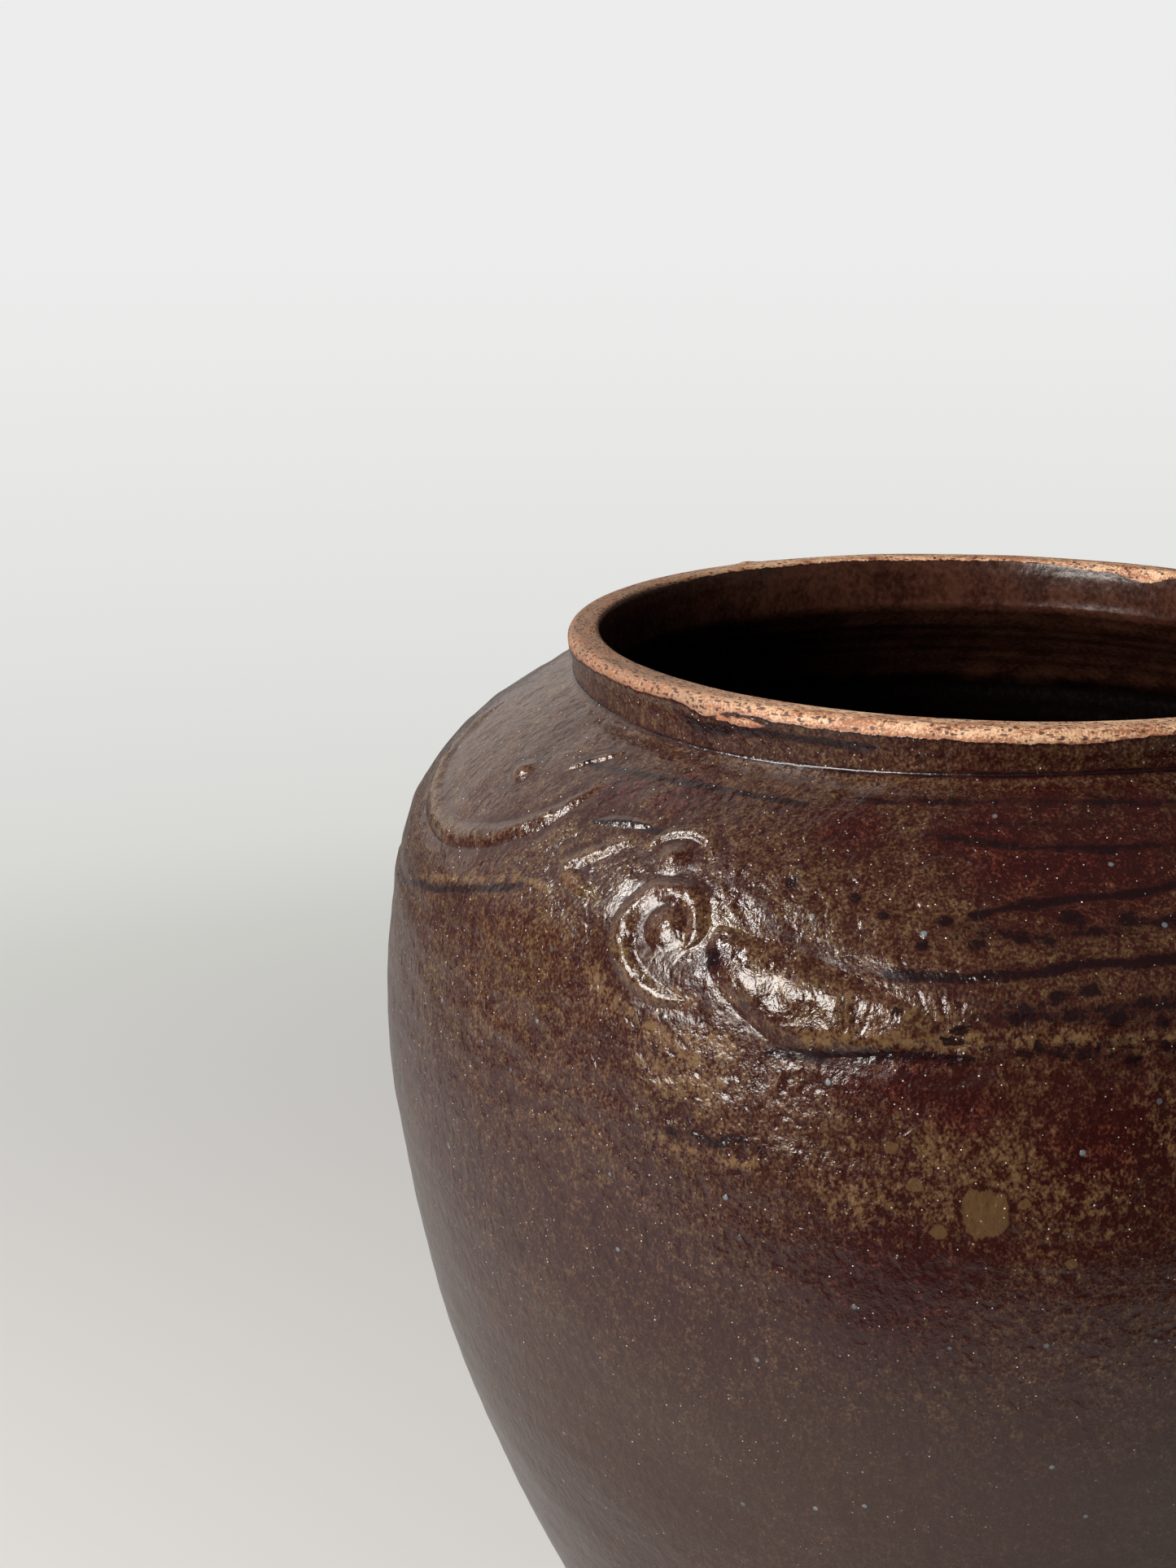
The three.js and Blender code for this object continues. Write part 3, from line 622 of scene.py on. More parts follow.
# Route, width and rise in millimetres, and how the strip swells from its start to its end
STRIPS = {
    "lappet_outline": (lappet_route, 4.0, 1.0, [0.4, 0.9, 1, 1, 1, 0.9, 0.4]),
    "lappet_vein": (through(sheet([[0.142, 0.03], [0.118, 0.13], [0.104, 0.22]])), 1.8, 0.5, EVEN_SWELL),
    "scroll_spiral": (spiral_route, 4.1, 1.25, [0.4, 0.8, 0.9, 1, 1, 1, 1, 0.9, 0.6]),
    "scroll_tail": (through(sheet([[0.339, 0.655], [0.358, 0.76], [0.388, 0.83], [0.417, 0.885],
                                   [0.45, 0.905], [0.483, 0.92], [0.508, 0.945]])), 11.0, 1.65,
                    [0.3, 0.62, 0.9, 1, 0.95, 0.75, 0.5, 0.22]),
    "scroll_crest": (through(sheet([[0.252, 0.415], [0.262, 0.345], [0.283, 0.31], [0.303, 0.34],
                                    [0.312, 0.4]])), 2.4, 0.7, EVEN_SWELL),
    "scroll_beak": (through(sheet([[0.235, 0.405], [0.207, 0.5], [0.188, 0.588], [0.205, 0.63],
                                   [0.23, 0.665]])), 3.0, 0.7, EVEN_SWELL),
    "scroll_brow": (through(sheet([[0.183, 0.385], [0.212, 0.345], [0.242, 0.33]])), 2.2, 0.45, EVEN_SWELL),
}
# Place, size and rise in millimetres
BOSSES = {
    "lappet_knob": (sheet([0.05, 0.32]), 5.4, 1.2),
    "scroll_eye": (EYE, 6.4, 1.35),
    "scroll_knob": (sheet([0.28, 0.44]), 5.4, 0.9),
}
print("strips", len(STRIPS), "bosses", len(BOSSES), "drop", round(shoulder_drop, 1))

# %% [markdown]
# ## A map of the glaze
# Iron glaze breaks tan where it is thin, and is maroon or oxblood where it pools. The potter's drags and
# drips leave dark lines and blots. An image could hold all that, but it would belong to one picture.
# Here each mark is a short route or a spot on the unrolled wall, and every point of the mesh gets its
# distance to them, which the material then roughens with noise.

# %% Marks on the unrolled wall
# Places are degrees from the lappet's middle and millimetres down from the relief's zero. A stroke is a
# route and its half width, and a spot is a place and its half width, in millimetres.
DARK_STROKES = [
    ([(56, 37.1), (59, 36.8), (62.3, 36.2), (68, 34.7), (71, 33.3), (76, 32.5), (84, 31.2)], 0.66),
    ([(62.5, 23.8), (65.6, 21.4), (71.3, 19), (78, 17.8), (84, 15.2)], 0.55),
    ([(47, 54.6), (53.2, 53.3), (58.9, 51.9), (62.6, 51.8)], 0.66),
    ([(39, 75), (41, 74.3), (43, 75.6), (44.5, 73.6), (47, 74.6)], 0.5),
    ([(-8, 53.5), (-1.7, 49.4), (3.4, 46.7), (8.7, 43), (14.1, 39.2), (18.4, 35.6)], 0.45),
    ([(22, 16.5), (26, 15), (31, 14.3)], 0.5), ([(60.8, 48.6), (62.0, 48.9)], 0.4),
    ([(66, 6.7), (72, 7.1), (78, 7.2)], 0.45), ([(24, -16.0), (27, -15.2), (36, -16.4), (50, -16.2)], 0.5),
    ([(14, 3.5), (24, 1.0), (33, -0.4), (44, 0.2)], 0.5),
]
DARK_SPOTS = [(60, 25.2, 0.7), (62.9, 29.4, 0.85), (66.7, 28.1, 0.95), (69, 28.6, 0.8), (70.8, 23, 1.1),
              (71.6, 25, 0.7), (75.7, 23.7, 1.1), (67.6, 20.4, 0.9), (54.8, 25, 0.7), (69.4, 39.2, 0.8),
              (71.9, 38.1, 0.9), (66.8, 42.6, 0.9), (66.2, 44.2, 0.6), (70.3, 42.8, 0.8), (74, 43.4, 0.95),
              (77.6, 43.7, 0.9), (61.9, 46.2, 0.8), (67.9, 48.7, 0.8), (71.3, 50.2, 0.8), (75, 51.5, 0.8),
              (41, 39, 1.6), (52, 22, 0.8), (46, 20, 0.7), (57, 44, 0.6), (58.5, 30.5, 0.6)]
DARK_ZONES = [([(62, 45), (70, 42.5), (84, 41)], 2.0), ([(60, 28), (68, 27.5), (76, 25), (84, 24)], 1.6),
              ([(64, 50), (72, 49.5), (84, 49)], 1.6),
              ([(57.6, 4.6), (62.5, 6.1), (68.8, 6.7), (84, 7.4)], 1.2),
              ([(50, -3), (60.6, -4.3), (71, -4.1), (84, -2.2)], 1.1), ([(58, 1), (66, 1.5), (74, 1)], 0.8)]
ZONE_STRENGTH = 0.7
NECK_LINE_STRENGTH, NECK_LINE_REACH = 0.88, 1.5
DARK_BREADTH = 1.4
HAZE_STROKES = [([(50, 51), (56, 49.9), (60, 49.6), (64.4, 47.5), (70, 47), (75, 48.2), (84, 46)], 1.5),
                ([(30, 47), (32, 52), (38, 55.5), (44, 55)], 1.6),
                ([(37, 77.5), (42, 78.5), (47, 77.5)], 1.5),
                ([(0.3, 45.9), (8.2, 41), (13.3, 37), (17.9, 34.3), (22.6, 34)], 0.8)]
HAZE_SPOTS = [(61.3, 43.4, 1.2), (60, 70, 4.5), (66, 74, 6), (72, 78, 7), (56, 84, 5), (62, 84, 5),
              (78, 66, 6), (40, 62, 6)]
BLOT_STROKES = [([(64.2, 80.6), (64.2, 83.6)], 2.7)]
BLOTS = [(61.0, 86.6, 1.15), (67.3, 80, 0.85), (59.0, 77.5, 1.0), (57.2, 82.5, 0.7),
         (71, 92, 0.9), (57, 70.5, 1.0)]
RED_SPOTS = [(60, 6, 3), (67, 6.5, 3.5), (75, 7, 3.5), (83, 7, 3.5), (70, -4, 3), (80, -3, 3),
             (71, 12.5, 7), (66, 12, 6), (77, 12.5, 7), (57, 100, 7), (60, 96, 5), (73, 68, 6),
             (41.5, 39, 2.2), (58, 58, 4.5), (62, 61, 4), (54, 57, 3), (64, 4, 5), (50, 5, 4),
             (22, 8, 4), (30, 3, 4)]
print("dark strokes", len(DARK_STROKES), "dark spots", len(DARK_SPOTS), "red spots", len(RED_SPOTS))

# %% Nearness to the marks
MARKS_TURNED, MARKS_SUNK = 127, 3
MARK_REACH = 3


def distance_to(route, x, y):
    """Least distance from the points (x, y) to the corners of a dense route."""
    least = np.full(np.broadcast(x, y).shape, 1e9)
    for px, py in route:
        least = np.minimum(least, (x - px) ** 2 + (y - py) ** 2)
    return np.sqrt(least)


WHOLE_TURN = 2 * np.pi * SHEET_RADIUS


def drawn(strokes, spots, x, y, breadth=1.0):
    """Nearness to a mark: 1 on its middle line, 0 at MARK_REACH of its half widths, even between. The
    marks come three times, each time 127 degrees further round and 3 mm lower. Breadth widens them."""
    nearness = np.zeros(x.shape)
    marks = [(through(route, 90), breadth * width) for route, width in strokes]
    marks += [(np.array([(a, d)], float), breadth * width) for a, d, width in spots]
    for sector in range(MOTIFS):
        turned = np.radians(MARKS_TURNED * sector) * SHEET_RADIUS
        local = (x - turned + WHOLE_TURN / 2) % WHOLE_TURN - WHOLE_TURN / 2
        for route, width in marks:
            line = np.stack([np.radians(route[:, 0]) * SHEET_RADIUS, route[:, 1] + MARKS_SUNK * sector], -1)
            low, high = line.min(0) - MARK_REACH * width, line.max(0) + MARK_REACH * width
            near = (local > low[0]) & (local < high[0]) & (y > low[1]) & (y < high[1])
            gap = distance_to(line, local[near], y[near])
            nearness[near] = np.maximum(nearness[near], 1 - gap / (MARK_REACH * width))
    return nearness


print("marks", len(DARK_STROKES + DARK_SPOTS + HAZE_STROKES + HAZE_SPOTS + BLOTS + RED_SPOTS))

# %% Where clay shows
GLAZE_LINE, INNER_GLAZE_LINE = 2.75, 0.75
FOOT_GLAZE_LEVEL = 21.0
RELIEF_ZERO = 4.9
LIP_CREST = mark["lip"] - 6
# Whole waves round the jar, phase and height
LIP_WAVES = ((5, 1, 0.2), (13, 0, 0.14), (31, 2, 0.08))
FOOT_WAVES = ((2, 1, 3.5), (5, 0, 1.6), (11, 0, 0.7))
# Where the glaze line is off its course: degrees round the jar, width in degrees, and millimetres
OUTER_NOTCHES = ((-134.8, 2.5, -2.0), (-79, 5, 0.9), (40, 4, -1.2), (150, 9, 0.8))
INNER_NOTCHES = ((53, 4.5, 3.0), (62, 5, 1.0))
INNER_SWAY = 0.4
ISLAND_TURN, ISLAND_BELOW, ISLAND_LONG, ISLAND_TALL = np.radians(-129.5), 1.5, 6.0, 0.9


def way_at(level, side):
    """Way at which the outside or the inside of the section passes a height."""
    rising = (ways < LIP_CREST) if side == "out" else (ways > LIP_CREST)
    order = np.argsort(section[1][rising])
    return np.interp(level, section[1][rising][order], ways[rising][order])


OUT_LINE_WAY = way_at(jar_height - GLAZE_LINE, "out")
IN_LINE_WAY = way_at(jar_height - INNER_GLAZE_LINE, "in")
FOOT_LINE_WAY = way_at(FOOT_GLAZE_LEVEL, "out")


def notched(line, turn, notches):
    """A line round the jar with a bell laid over it at each notch."""
    for middle, width, height in notches:
        line = line + height * bump(turn, middle, width)
    return line


def bare_clay(turn, way):
    """Distance into the bare clay in millimetres, negative under glaze: clay shows on the lip between two
    glaze lines, at the foot below a third, and on one small island beside the lip."""
    sway = swayed(0, turn, LIP_WAVES)
    out_line = notched(OUT_LINE_WAY + sway, turn, OUTER_NOTCHES)
    in_line = notched(IN_LINE_WAY + INNER_SWAY * sway, turn, INNER_NOTCHES)
    foot_line = swayed(FOOT_LINE_WAY, turn, FOOT_WAVES)
    lip_part = np.minimum(way - out_line, in_line - way)
    island = 1.0 - np.hypot((turn - ISLAND_TURN) * neck_radius / ISLAND_LONG,
                            (way - OUT_LINE_WAY + ISLAND_BELOW) / ISLAND_TALL)
    return np.maximum(np.maximum(lip_part, foot_line - way), island)


print("glaze lines at ways", [round(float(way), 1) for way in (OUT_LINE_WAY, IN_LINE_WAY, FOOT_LINE_WAY)])

# %% Where the glaze is thin, pooled, dark, ochre or red
ABOVE_NECK, BELOW_JOINT = 4, 14
CROWN_FROM, CROWN_TO = 0.15, 0.75
MOAT_SHARE, MOAT_GAP = 0.8, 0.6
CORNER_POOL, CORNER_POOL_WIDTH = 1.1, 1.1
ROLL_TAN_AND_HIGHLIGHT, ROLL_HIGHLIGHT_WIDTH, ROLL_HIGHLIGHT_LOWER = 0.6, 0.6, 0.3


def relief(turn, way):
    """1 on the ridges of the ornament and up to 0.6 on the roll at the neck, where thin glaze and a painted
    highlight along the roll's top are one tan line. Where glaze pools it is down to -1, at the ridges' feet,
    and to -1.1, in the corner of the neck. Elsewhere it is 0."""
    x = (turn - FIRST_MOTIF) * SHEET_RADIUS
    third = MOTIF_TURN * SHEET_RADIUS
    x = (x + third / 3) % third - third / 3
    y = mark["shoulder"] - way
    crown, moat = np.zeros(x.shape), np.zeros(x.shape)
    shapes = [(route, width) for route, width, _, _ in STRIPS.values()]
    shapes += [(place[None], size_mm) for place, size_mm, _ in BOSSES.values()]
    near = (y > -ABOVE_NECK) & (y < shoulder_drop + BELOW_JOINT)
    for route, width in shapes:
        gap = distance_to(route, x[near], y[near])
        crown[near] = np.maximum(crown[near], 1 - step_up(gap, CROWN_FROM * width, CROWN_TO * width))
        moat[near] = np.maximum(moat[near], np.exp(-(gap - MOAT_SHARE * width - MOAT_GAP) ** 2))
    corner_pool = CORNER_POOL * bell_at(way, NECK_CORNER, CORNER_POOL_WIDTH)
    # The roll's tan line is thin glaze together with a painted highlight along the roll's top.
    roll_tan_and_highlight = ROLL_TAN_AND_HIGHLIGHT * np.exp(
        -((way - NECK_CORNER + ROLL_BELOW + ROLL_HIGHLIGHT_LOWER) / ROLL_HIGHLIGHT_WIDTH) ** 2)
    return np.clip(crown - moat * (1 - crown) + (roll_tan_and_highlight - corner_pool) * groove_share(turn), -1.2, 1)


MARKED_FROM, MARKED_TO = -20, 125
CALM_FROM, CALM_TO = 95, 165


def glaze_map(turn, way):
    """The values that the glaze reads at each point: bare clay, (dark, blot, haze), (calm, relief, red)."""
    turn, way = np.broadcast_arrays(turn, way)
    x = (turn - FIRST_MOTIF) * SHEET_RADIUS
    s = mark["shoulder"] - way - RELIEF_ZERO
    outer = way < LIP_CREST
    marks = np.zeros((3,) + turn.shape)
    body = np.zeros((3,) + turn.shape)
    marked = outer & (s > MARKED_FROM) & (s < MARKED_TO)
    body[0] = step_up(s, CALM_FROM, CALM_TO) * outer
    if marked.any():
        at = x[marked], s[marked]
        lines = drawn(DARK_STROKES, DARK_SPOTS, *at, DARK_BREADTH)
        neck_line = NECK_LINE_STRENGTH - np.abs(way[marked] - NECK_CORNER) / NECK_LINE_REACH
        zones = ZONE_STRENGTH * drawn(DARK_ZONES, [], *at)
        marks[0][marked] = np.maximum(np.maximum(lines, zones), neck_line)
        marks[1][marked] = drawn(BLOT_STROKES, BLOTS, *at)
        marks[2][marked] = drawn(HAZE_STROKES, HAZE_SPOTS, *at)
        body[1][marked] = relief(turn[marked], way[marked])
        body[2][marked] = drawn([], RED_SPOTS, *at)
    return bare_clay(turn, way), marks, body


print("marks from", MARKED_FROM, "to", MARKED_TO, "mm below the relief's zero")

# %% [markdown]
# ## From rows of points to a closed piece
# Each clay piece is a ring: its outer rows climb, its inner rows come down, and the joint faces between
# them stay hidden in the clay. One turned mesh could be cut into pieces instead, but its cuts would have
# to be closed by hand. The rows of two neighbours end on the same points. If each piece worked out its
# own shading, a line would show at every joint, so the shading normals come from the one skin.

# %% Mesh helpers
SEGMENTS = 1080
BURIED = 5
INNER_FACES = mark["lip"] - 6.5
TURNS = np.linspace(-np.pi, np.pi, SEGMENTS, endpoint=False)


def put_in_mesh(name, points, *face_arrays):
    """A mesh object from points in millimetres and arrays of faces, each with its own number of corners."""
    mesh = bpy.data.meshes.new(name)
    points = points.reshape(-1, 3) * MM
    mesh.vertices.add(len(points))
    mesh.vertices.foreach_set("co", points.astype(np.float32).ravel())
    corner_counts = np.concatenate([np.full(len(faces), faces.shape[1]) for faces in face_arrays])
    mesh.loops.add(int(corner_counts.sum()))
    face_corners = np.concatenate([faces.ravel() for faces in face_arrays])
    mesh.loops.foreach_set("vertex_index", face_corners.astype(np.int32))
    mesh.polygons.add(len(corner_counts))
    starts = np.concatenate([[0], np.cumsum(corner_counts)[:-1]]).astype(np.int32)
    mesh.polygons.foreach_set("loop_start", starts)
    mesh.update(calc_edges=True)
    mesh.polygons.foreach_set("use_smooth", np.ones(len(corner_counts), bool))
    piece = bpy.data.objects.new(name, mesh)
    bpy.context.collection.objects.link(piece)
    return piece


def grid_faces(rows, columns, close_rows):
    """Four-cornered faces between each point of a grid and its neighbours. The last column always joins
    the first, and the last row does where close_rows says so."""
    row = np.arange(rows if close_rows else rows - 1)[:, None]
    column = np.arange(columns)[None, :]
    here, above = row * columns, ((row + 1) % rows) * columns
    right = (column + 1) % columns
    return np.stack([here + column, here + right, above + right, above + column], -1).reshape(-1, 4)


def give_values(piece, bare, marks, body, pace):
    """Stores the glaze map and the pace, a place along the wall, at the points of a piece."""
    values = {"bare": ("FLOAT", "value", bare),
              "marks": ("FLOAT_VECTOR", "vector", np.moveaxis(marks, 0, -1)),
              "body": ("FLOAT_VECTOR", "vector", np.moveaxis(body, 0, -1)),
              "pace": ("FLOAT_VECTOR", "vector", pace)}
    for name, (kind, key, array) in values.items():
        layer = piece.data.attributes.new(name, kind, "POINT")
        layer.data.foreach_set(key, np.ascontiguousarray(array, np.float32).ravel())


print("points round the jar", SEGMENTS)

# %% A ring of the skin
def rows_between(start, end, spacing):
    """Ways from one mark to another at about a spacing."""
    return np.linspace(start, end, max(int(np.ceil((end - start) / spacing)), 1) + 1)


def ring(name, parts, hidden=()):
    """A closed ring: rows of the skin at the ways in parts, then hidden (radius, height) rows."""
    row_ways = np.concatenate(parts)
    way = row_ways[:, None]
    points = skin(TURNS[None], way)
    normals = skin_normals(TURNS[None], way)
    bare, marks, body = glaze_map(TURNS[None], way)
    pace = pace_at(TURNS[None], way)
    if len(hidden):
        r, z = np.array(hidden).T[:, :, None]
        buried = np.stack([r * np.cos(TURNS), r * np.sin(TURNS), z + 0 * TURNS], -1)
        points = np.concatenate([points, buried])
        down = np.zeros(buried.shape) - [0, 0, 1]
        normals = np.concatenate([normals, down])
        bare = np.concatenate([bare, np.zeros(buried.shape[:2]) - BURIED])
        marks, body = (np.concatenate([v, np.zeros((3,) + buried.shape[:2])], 1) for v in (marks, body))
        pace = np.concatenate([pace, np.zeros(buried.shape)])
    piece = put_in_mesh(name, points, grid_faces(len(points), SEGMENTS, True))
    give_values(piece, bare, marks, body, pace)
    piece.data.normals_split_custom_set_from_vertices(normals.reshape(-1, 3).tolist())
    inner_rows = np.append(row_ways, np.zeros(len(hidden))) > INNER_FACES
    piece.data.polygons.foreach_set("material_index", np.repeat(inner_rows.astype(np.int32), SEGMENTS))
    print(name, "rows", len(points), "triangles", 2 * len(piece.data.polygons))
    return piece


DASH_RADIUS = 30.0


def pace_at(turn, way):
    """Millimetres along the path as height, on a cylinder so slim that cells on it come out as dashes
    round the jar."""
    turn, way = np.broadcast_arrays(turn, way)
    return np.stack([DASH_RADIUS * np.cos(turn), DASH_RADIUS * np.sin(turn), way], -1)


print("radius of the cylinder for dashes", DASH_RADIUS)

# %% [markdown]
# ## The clay pieces of the body
# The rows are closest where the eye looks closest: half a millimetre on lip and neck, under one on the
# shoulder, and wider on the plain wall below. Even rows would be simpler, but they would either lose the
# lip's edge or make the wall too heavy.

# %% Walls, shoulder, collar, lip and coil
# Each stretch of the path has its spacing in millimetres. Hidden corners lie a little inside the clay.
lower_wall = ring("lower_wall_fired", [rows_between(mark["underside"], mark["lower"], 2.4),
                                       rows_between(mark["belly_inside"], mark["lower_inside"], 7.0)],
                  hidden=[(inner_foot + 0.6, floor_level + 0.4)])
belly_wall = ring("belly_wall_fired", [rows_between(mark["lower"], mark["belly"], 1.7),
                                       rows_between(mark["shoulder_inside"], mark["belly_inside"], 8.0)])
shoulder_dome = ring("shoulder_dome_fired",
                     [rows_between(mark["belly"], mark["shoulder"], 0.8),
                      rows_between(mark["collar_inside"], mark["shoulder_inside"], 3.5)])
luting_coil = ring("neck_luting_coil_fired", [rows_between(mark["shoulder"], mark["fillet"], 0.5)],
                   hidden=[(neck_radius - 2.2, neck_seam - 1.5)])
neck_collar = ring("neck_collar_fired", [rows_between(mark["fillet"], mark["collar"], 0.5),
                                         rows_between(mark["lip"], mark["collar_inside"], 0.8)],
                   hidden=[(neck_radius - 2.4, neck_bottom)])
mouth_lip = ring("mouth_lip_fired", [rows_between(mark["collar"], mark["lip"], 0.45)])

# %% [markdown]
# ## Base disc
# The disc closes the jar below. Its underside and the jar's floor are both surfaces that run to the
# axis, where a row of points would shrink to one. The rows stop at a hair's breadth from the axis, and
# there a fan of small faces round one point closes each pole, so the mesh stays whole.

# %% Base disc with closed poles
POLE_RADIUS = 0.4
FOOT_BAND = 22
FAR_FROM_LINE = 9
band_way = mark["underside"] - FOOT_BAND
under_ways = np.concatenate([rows_between(POLE_RADIUS, band_way, 3.5),
                             rows_between(band_way, mark["underside"], 0.8)[1:]])
floor_ways = rows_between(mark["base_fillet"], lengths[-1] - POLE_RADIUS, 3.0)
disc_way = np.concatenate([under_ways, floor_ways])[:, None]
disc_rows = len(disc_way)
low_pole, high_pole = disc_rows * SEGMENTS, disc_rows * SEGMENTS + 1
round_once = np.arange(SEGMENTS)
round_next = (round_once + 1) % SEGMENTS
low_fan = np.stack([np.full(SEGMENTS, low_pole), round_next, round_once], -1)
high_fan = np.stack([np.full(SEGMENTS, high_pole), round_once, round_next], -1)
high_fan[:, 1:] += (disc_rows - 1) * SEGMENTS
poles = np.array([[0, 0, section[1][0]], [0, 0, section[1][-1]]])
disc_points = np.vstack([skin(TURNS[None], disc_way).reshape(-1, 3), poles])
base_disc = put_in_mesh("base_disc_fired", disc_points, grid_faces(disc_rows, SEGMENTS, False),
                        low_fan, high_fan)
disc_bare, disc_marks, disc_body = glaze_map(TURNS[None], disc_way)
nothing = np.zeros((3, 2))
give_values(base_disc, np.append(disc_bare.ravel(), [FAR_FROM_LINE, -FAR_FROM_LINE]),
            np.hstack([disc_marks.reshape(3, -1), nothing]), np.hstack([disc_body.reshape(3, -1), nothing]),
            np.vstack([pace_at(TURNS[None], disc_way).reshape(-1, 3), nothing.T]))
disc_normals = np.vstack([skin_normals(TURNS[None], disc_way).reshape(-1, 3), [[0, 0, -1], [0, 0, 1]]])
base_disc.data.normals_split_custom_set_from_vertices(disc_normals.tolist())
inside_rows = disc_way[:-1, 0] > mark["underside"] + 1
disc_slots = np.concatenate([np.repeat(inside_rows, SEGMENTS), np.zeros(SEGMENTS), np.ones(SEGMENTS)])
base_disc.data.polygons.foreach_set("material_index", disc_slots.astype(np.int32))
print("base disc triangles", 2 * len(base_disc.data.polygons))

# %% [markdown]
# ## Coils inside the joints
# Inside, the potter pressed a coil over each joint and smoothed it thin at both edges. Each is a lens
# that lies on the wall: its height over the wall is a bell across its width, and it dips a little under
# the wall at its edges so that no gap can show.

# %% Seam coils and the coil at the floor
COIL_HALF_WIDTH = 12.0
COIL_RISE, COIL_DIP = 3.4, 0.12
COIL_COLUMNS = 25
COIL_BACK, COIL_BACK_DEPTH = np.array([0.9, 0, -0.9]), 0.9
COIL_ABOVE_JOINT = 1.5


def seam_coil(name, middle_way):
    """A ring over an inner joint: rise * (1 - v**2)**2 across its width v, and a flat back in the wall."""
    across = np.linspace(-1, 1, COIL_COLUMNS)
    front = COIL_RISE * (1 - across ** 2) ** 2 - COIL_DIP
    way = (middle_way + across * COIL_HALF_WIDTH)[:, None]
    top = skin(TURNS[None], way, front[:, None])
    back_way = (middle_way + COIL_BACK * COIL_HALF_WIDTH)[:, None]
    points = np.concatenate([top, skin(TURNS[None], back_way, -COIL_BACK_DEPTH)])
    piece = put_in_mesh(name, points, grid_faces(len(points), SEGMENTS, True))
    zeros = np.zeros((3,) + points.shape[:2])
    pace = pace_at(TURNS[None], np.concatenate([way, back_way]))
    give_values(piece, np.zeros(points.shape[:2]) - FAR_FROM_LINE, zeros, zeros, pace)
    print(name, "triangles", 2 * len(piece.data.polygons))
    return piece


belly_coil = seam_coil("belly_seam_coil_fired", mark["belly_inside"] + COIL_ABOVE_JOINT)
shoulder_coil = seam_coil("shoulder_seam_coil_fired", mark["shoulder_inside"] + COIL_ABOVE_JOINT)
base_coil = ring("base_seam_coil_fired", [rows_between(mark["lower_inside"], mark["base_fillet"], 1.2)],
                 hidden=[(inner_foot + 0.3, floor_level + 0.1)])

# %% [markdown]
# ## Sprigs on the shoulder
# A sprig is a strip of soft clay that the finger has blended into the wall, and the glaze has rounded
# it further. A tube laid on the wall would look stuck on. Each strip is a lens over its route: across
# it the height is a bell that meets the wall flat, and along it the width and height swell and fade.

# %% A lens on the skin
SPREAD = 1.75
SPRIG_DIP, SPRIG_DEPTH = 0.02, 0.7
TIP_SHARE = 0.07
THIN_TO_BROAD, ROUND_TO_FLAT = [3.0, 10.0], [2.0, 3.0]
STRIP_COLUMNS, BOSS_RINGS, BOSS_COLUMNS = 19, 18, 40


def lens_piece(name, x, y, height, round_closed):
    """A closed lens: the front grid lies at its heights over the skin, the back is sunk into the wall. An
    open grid is a strip whose last axis runs across it; a round one has rings round its last axis."""
    turn, way = FIRST_MOTIF + x / SHEET_RADIUS, mark["shoulder"] - y
    height = height * (1 + PRESSED_SHARE * lattice(turn, way, *PRESSED_LUMPS))
    front = skin(turn, way, height - SPRIG_DIP)
    back = skin(turn, way, -SPRIG_DEPTH)
    padded = np.pad(front, ((0, 0), (1, 1), (0, 0)), mode="wrap") if round_closed else front
    normals = np.cross(np.gradient(padded, axis=0), np.gradient(padded, axis=1))
    normals = normals[:, 1:-1] if round_closed else normals
    outwards = front * [1, 1, 0]
    normals *= np.sign((normals * outwards).sum(-1).mean())
    if round_closed:
        keep = [-1, len(x) // 2, 1]
        keys = [np.concatenate([a[keep], a]) for a in (turn, way)]
        points = np.concatenate([back[keep], front])
        normals = np.concatenate([-normals[keep], normals])
    else:
        keys = [np.concatenate([a, a[:, 1:-1][:, ::-1]], 1) for a in (turn, way)]
        points = np.concatenate([front, back[:, 1:-1][:, ::-1]], 1)
        normals = np.concatenate([normals, -normals[:, 1:-1][:, ::-1]], 1)
    rows, columns = points.shape[:2]
    lid = np.arange(columns)[None]
    piece = put_in_mesh(name, points, grid_faces(rows, columns, False), lid[:, ::-1],
                        lid + (rows - 1) * columns)
    bare, marks, body = glaze_map(*keys)
    give_values(piece, bare, marks, body, pace_at(*keys))
    if volume_of(piece) < 0:
        piece.data.flip_normals()
    normals /= np.maximum(np.linalg.norm(normals, axis=-1, keepdims=True), 1e-9)
    piece.data.normals_split_custom_set_from_vertices(normals.reshape(-1, 3).tolist())
    return piece


def volume_of(piece):
    """Volume as the sum of the corner products of all triangles; negative when the faces point inwards."""
    mesh = piece.data
    mesh.calc_loop_triangles()
    index = np.empty(len(mesh.loop_triangles) * 3, np.int32)
    mesh.loop_triangles.foreach_get("vertices", index)
    points = np.empty(len(mesh.vertices) * 3)
    mesh.vertices.foreach_get("co", points)
    a, b, c = points.reshape(-1, 3)[index.reshape(-1, 3)].transpose(1, 0, 2)
    return (a * np.cross(b, c)).sum() / 6


print("a sprig is sunk by", SPRIG_DEPTH, "mm")

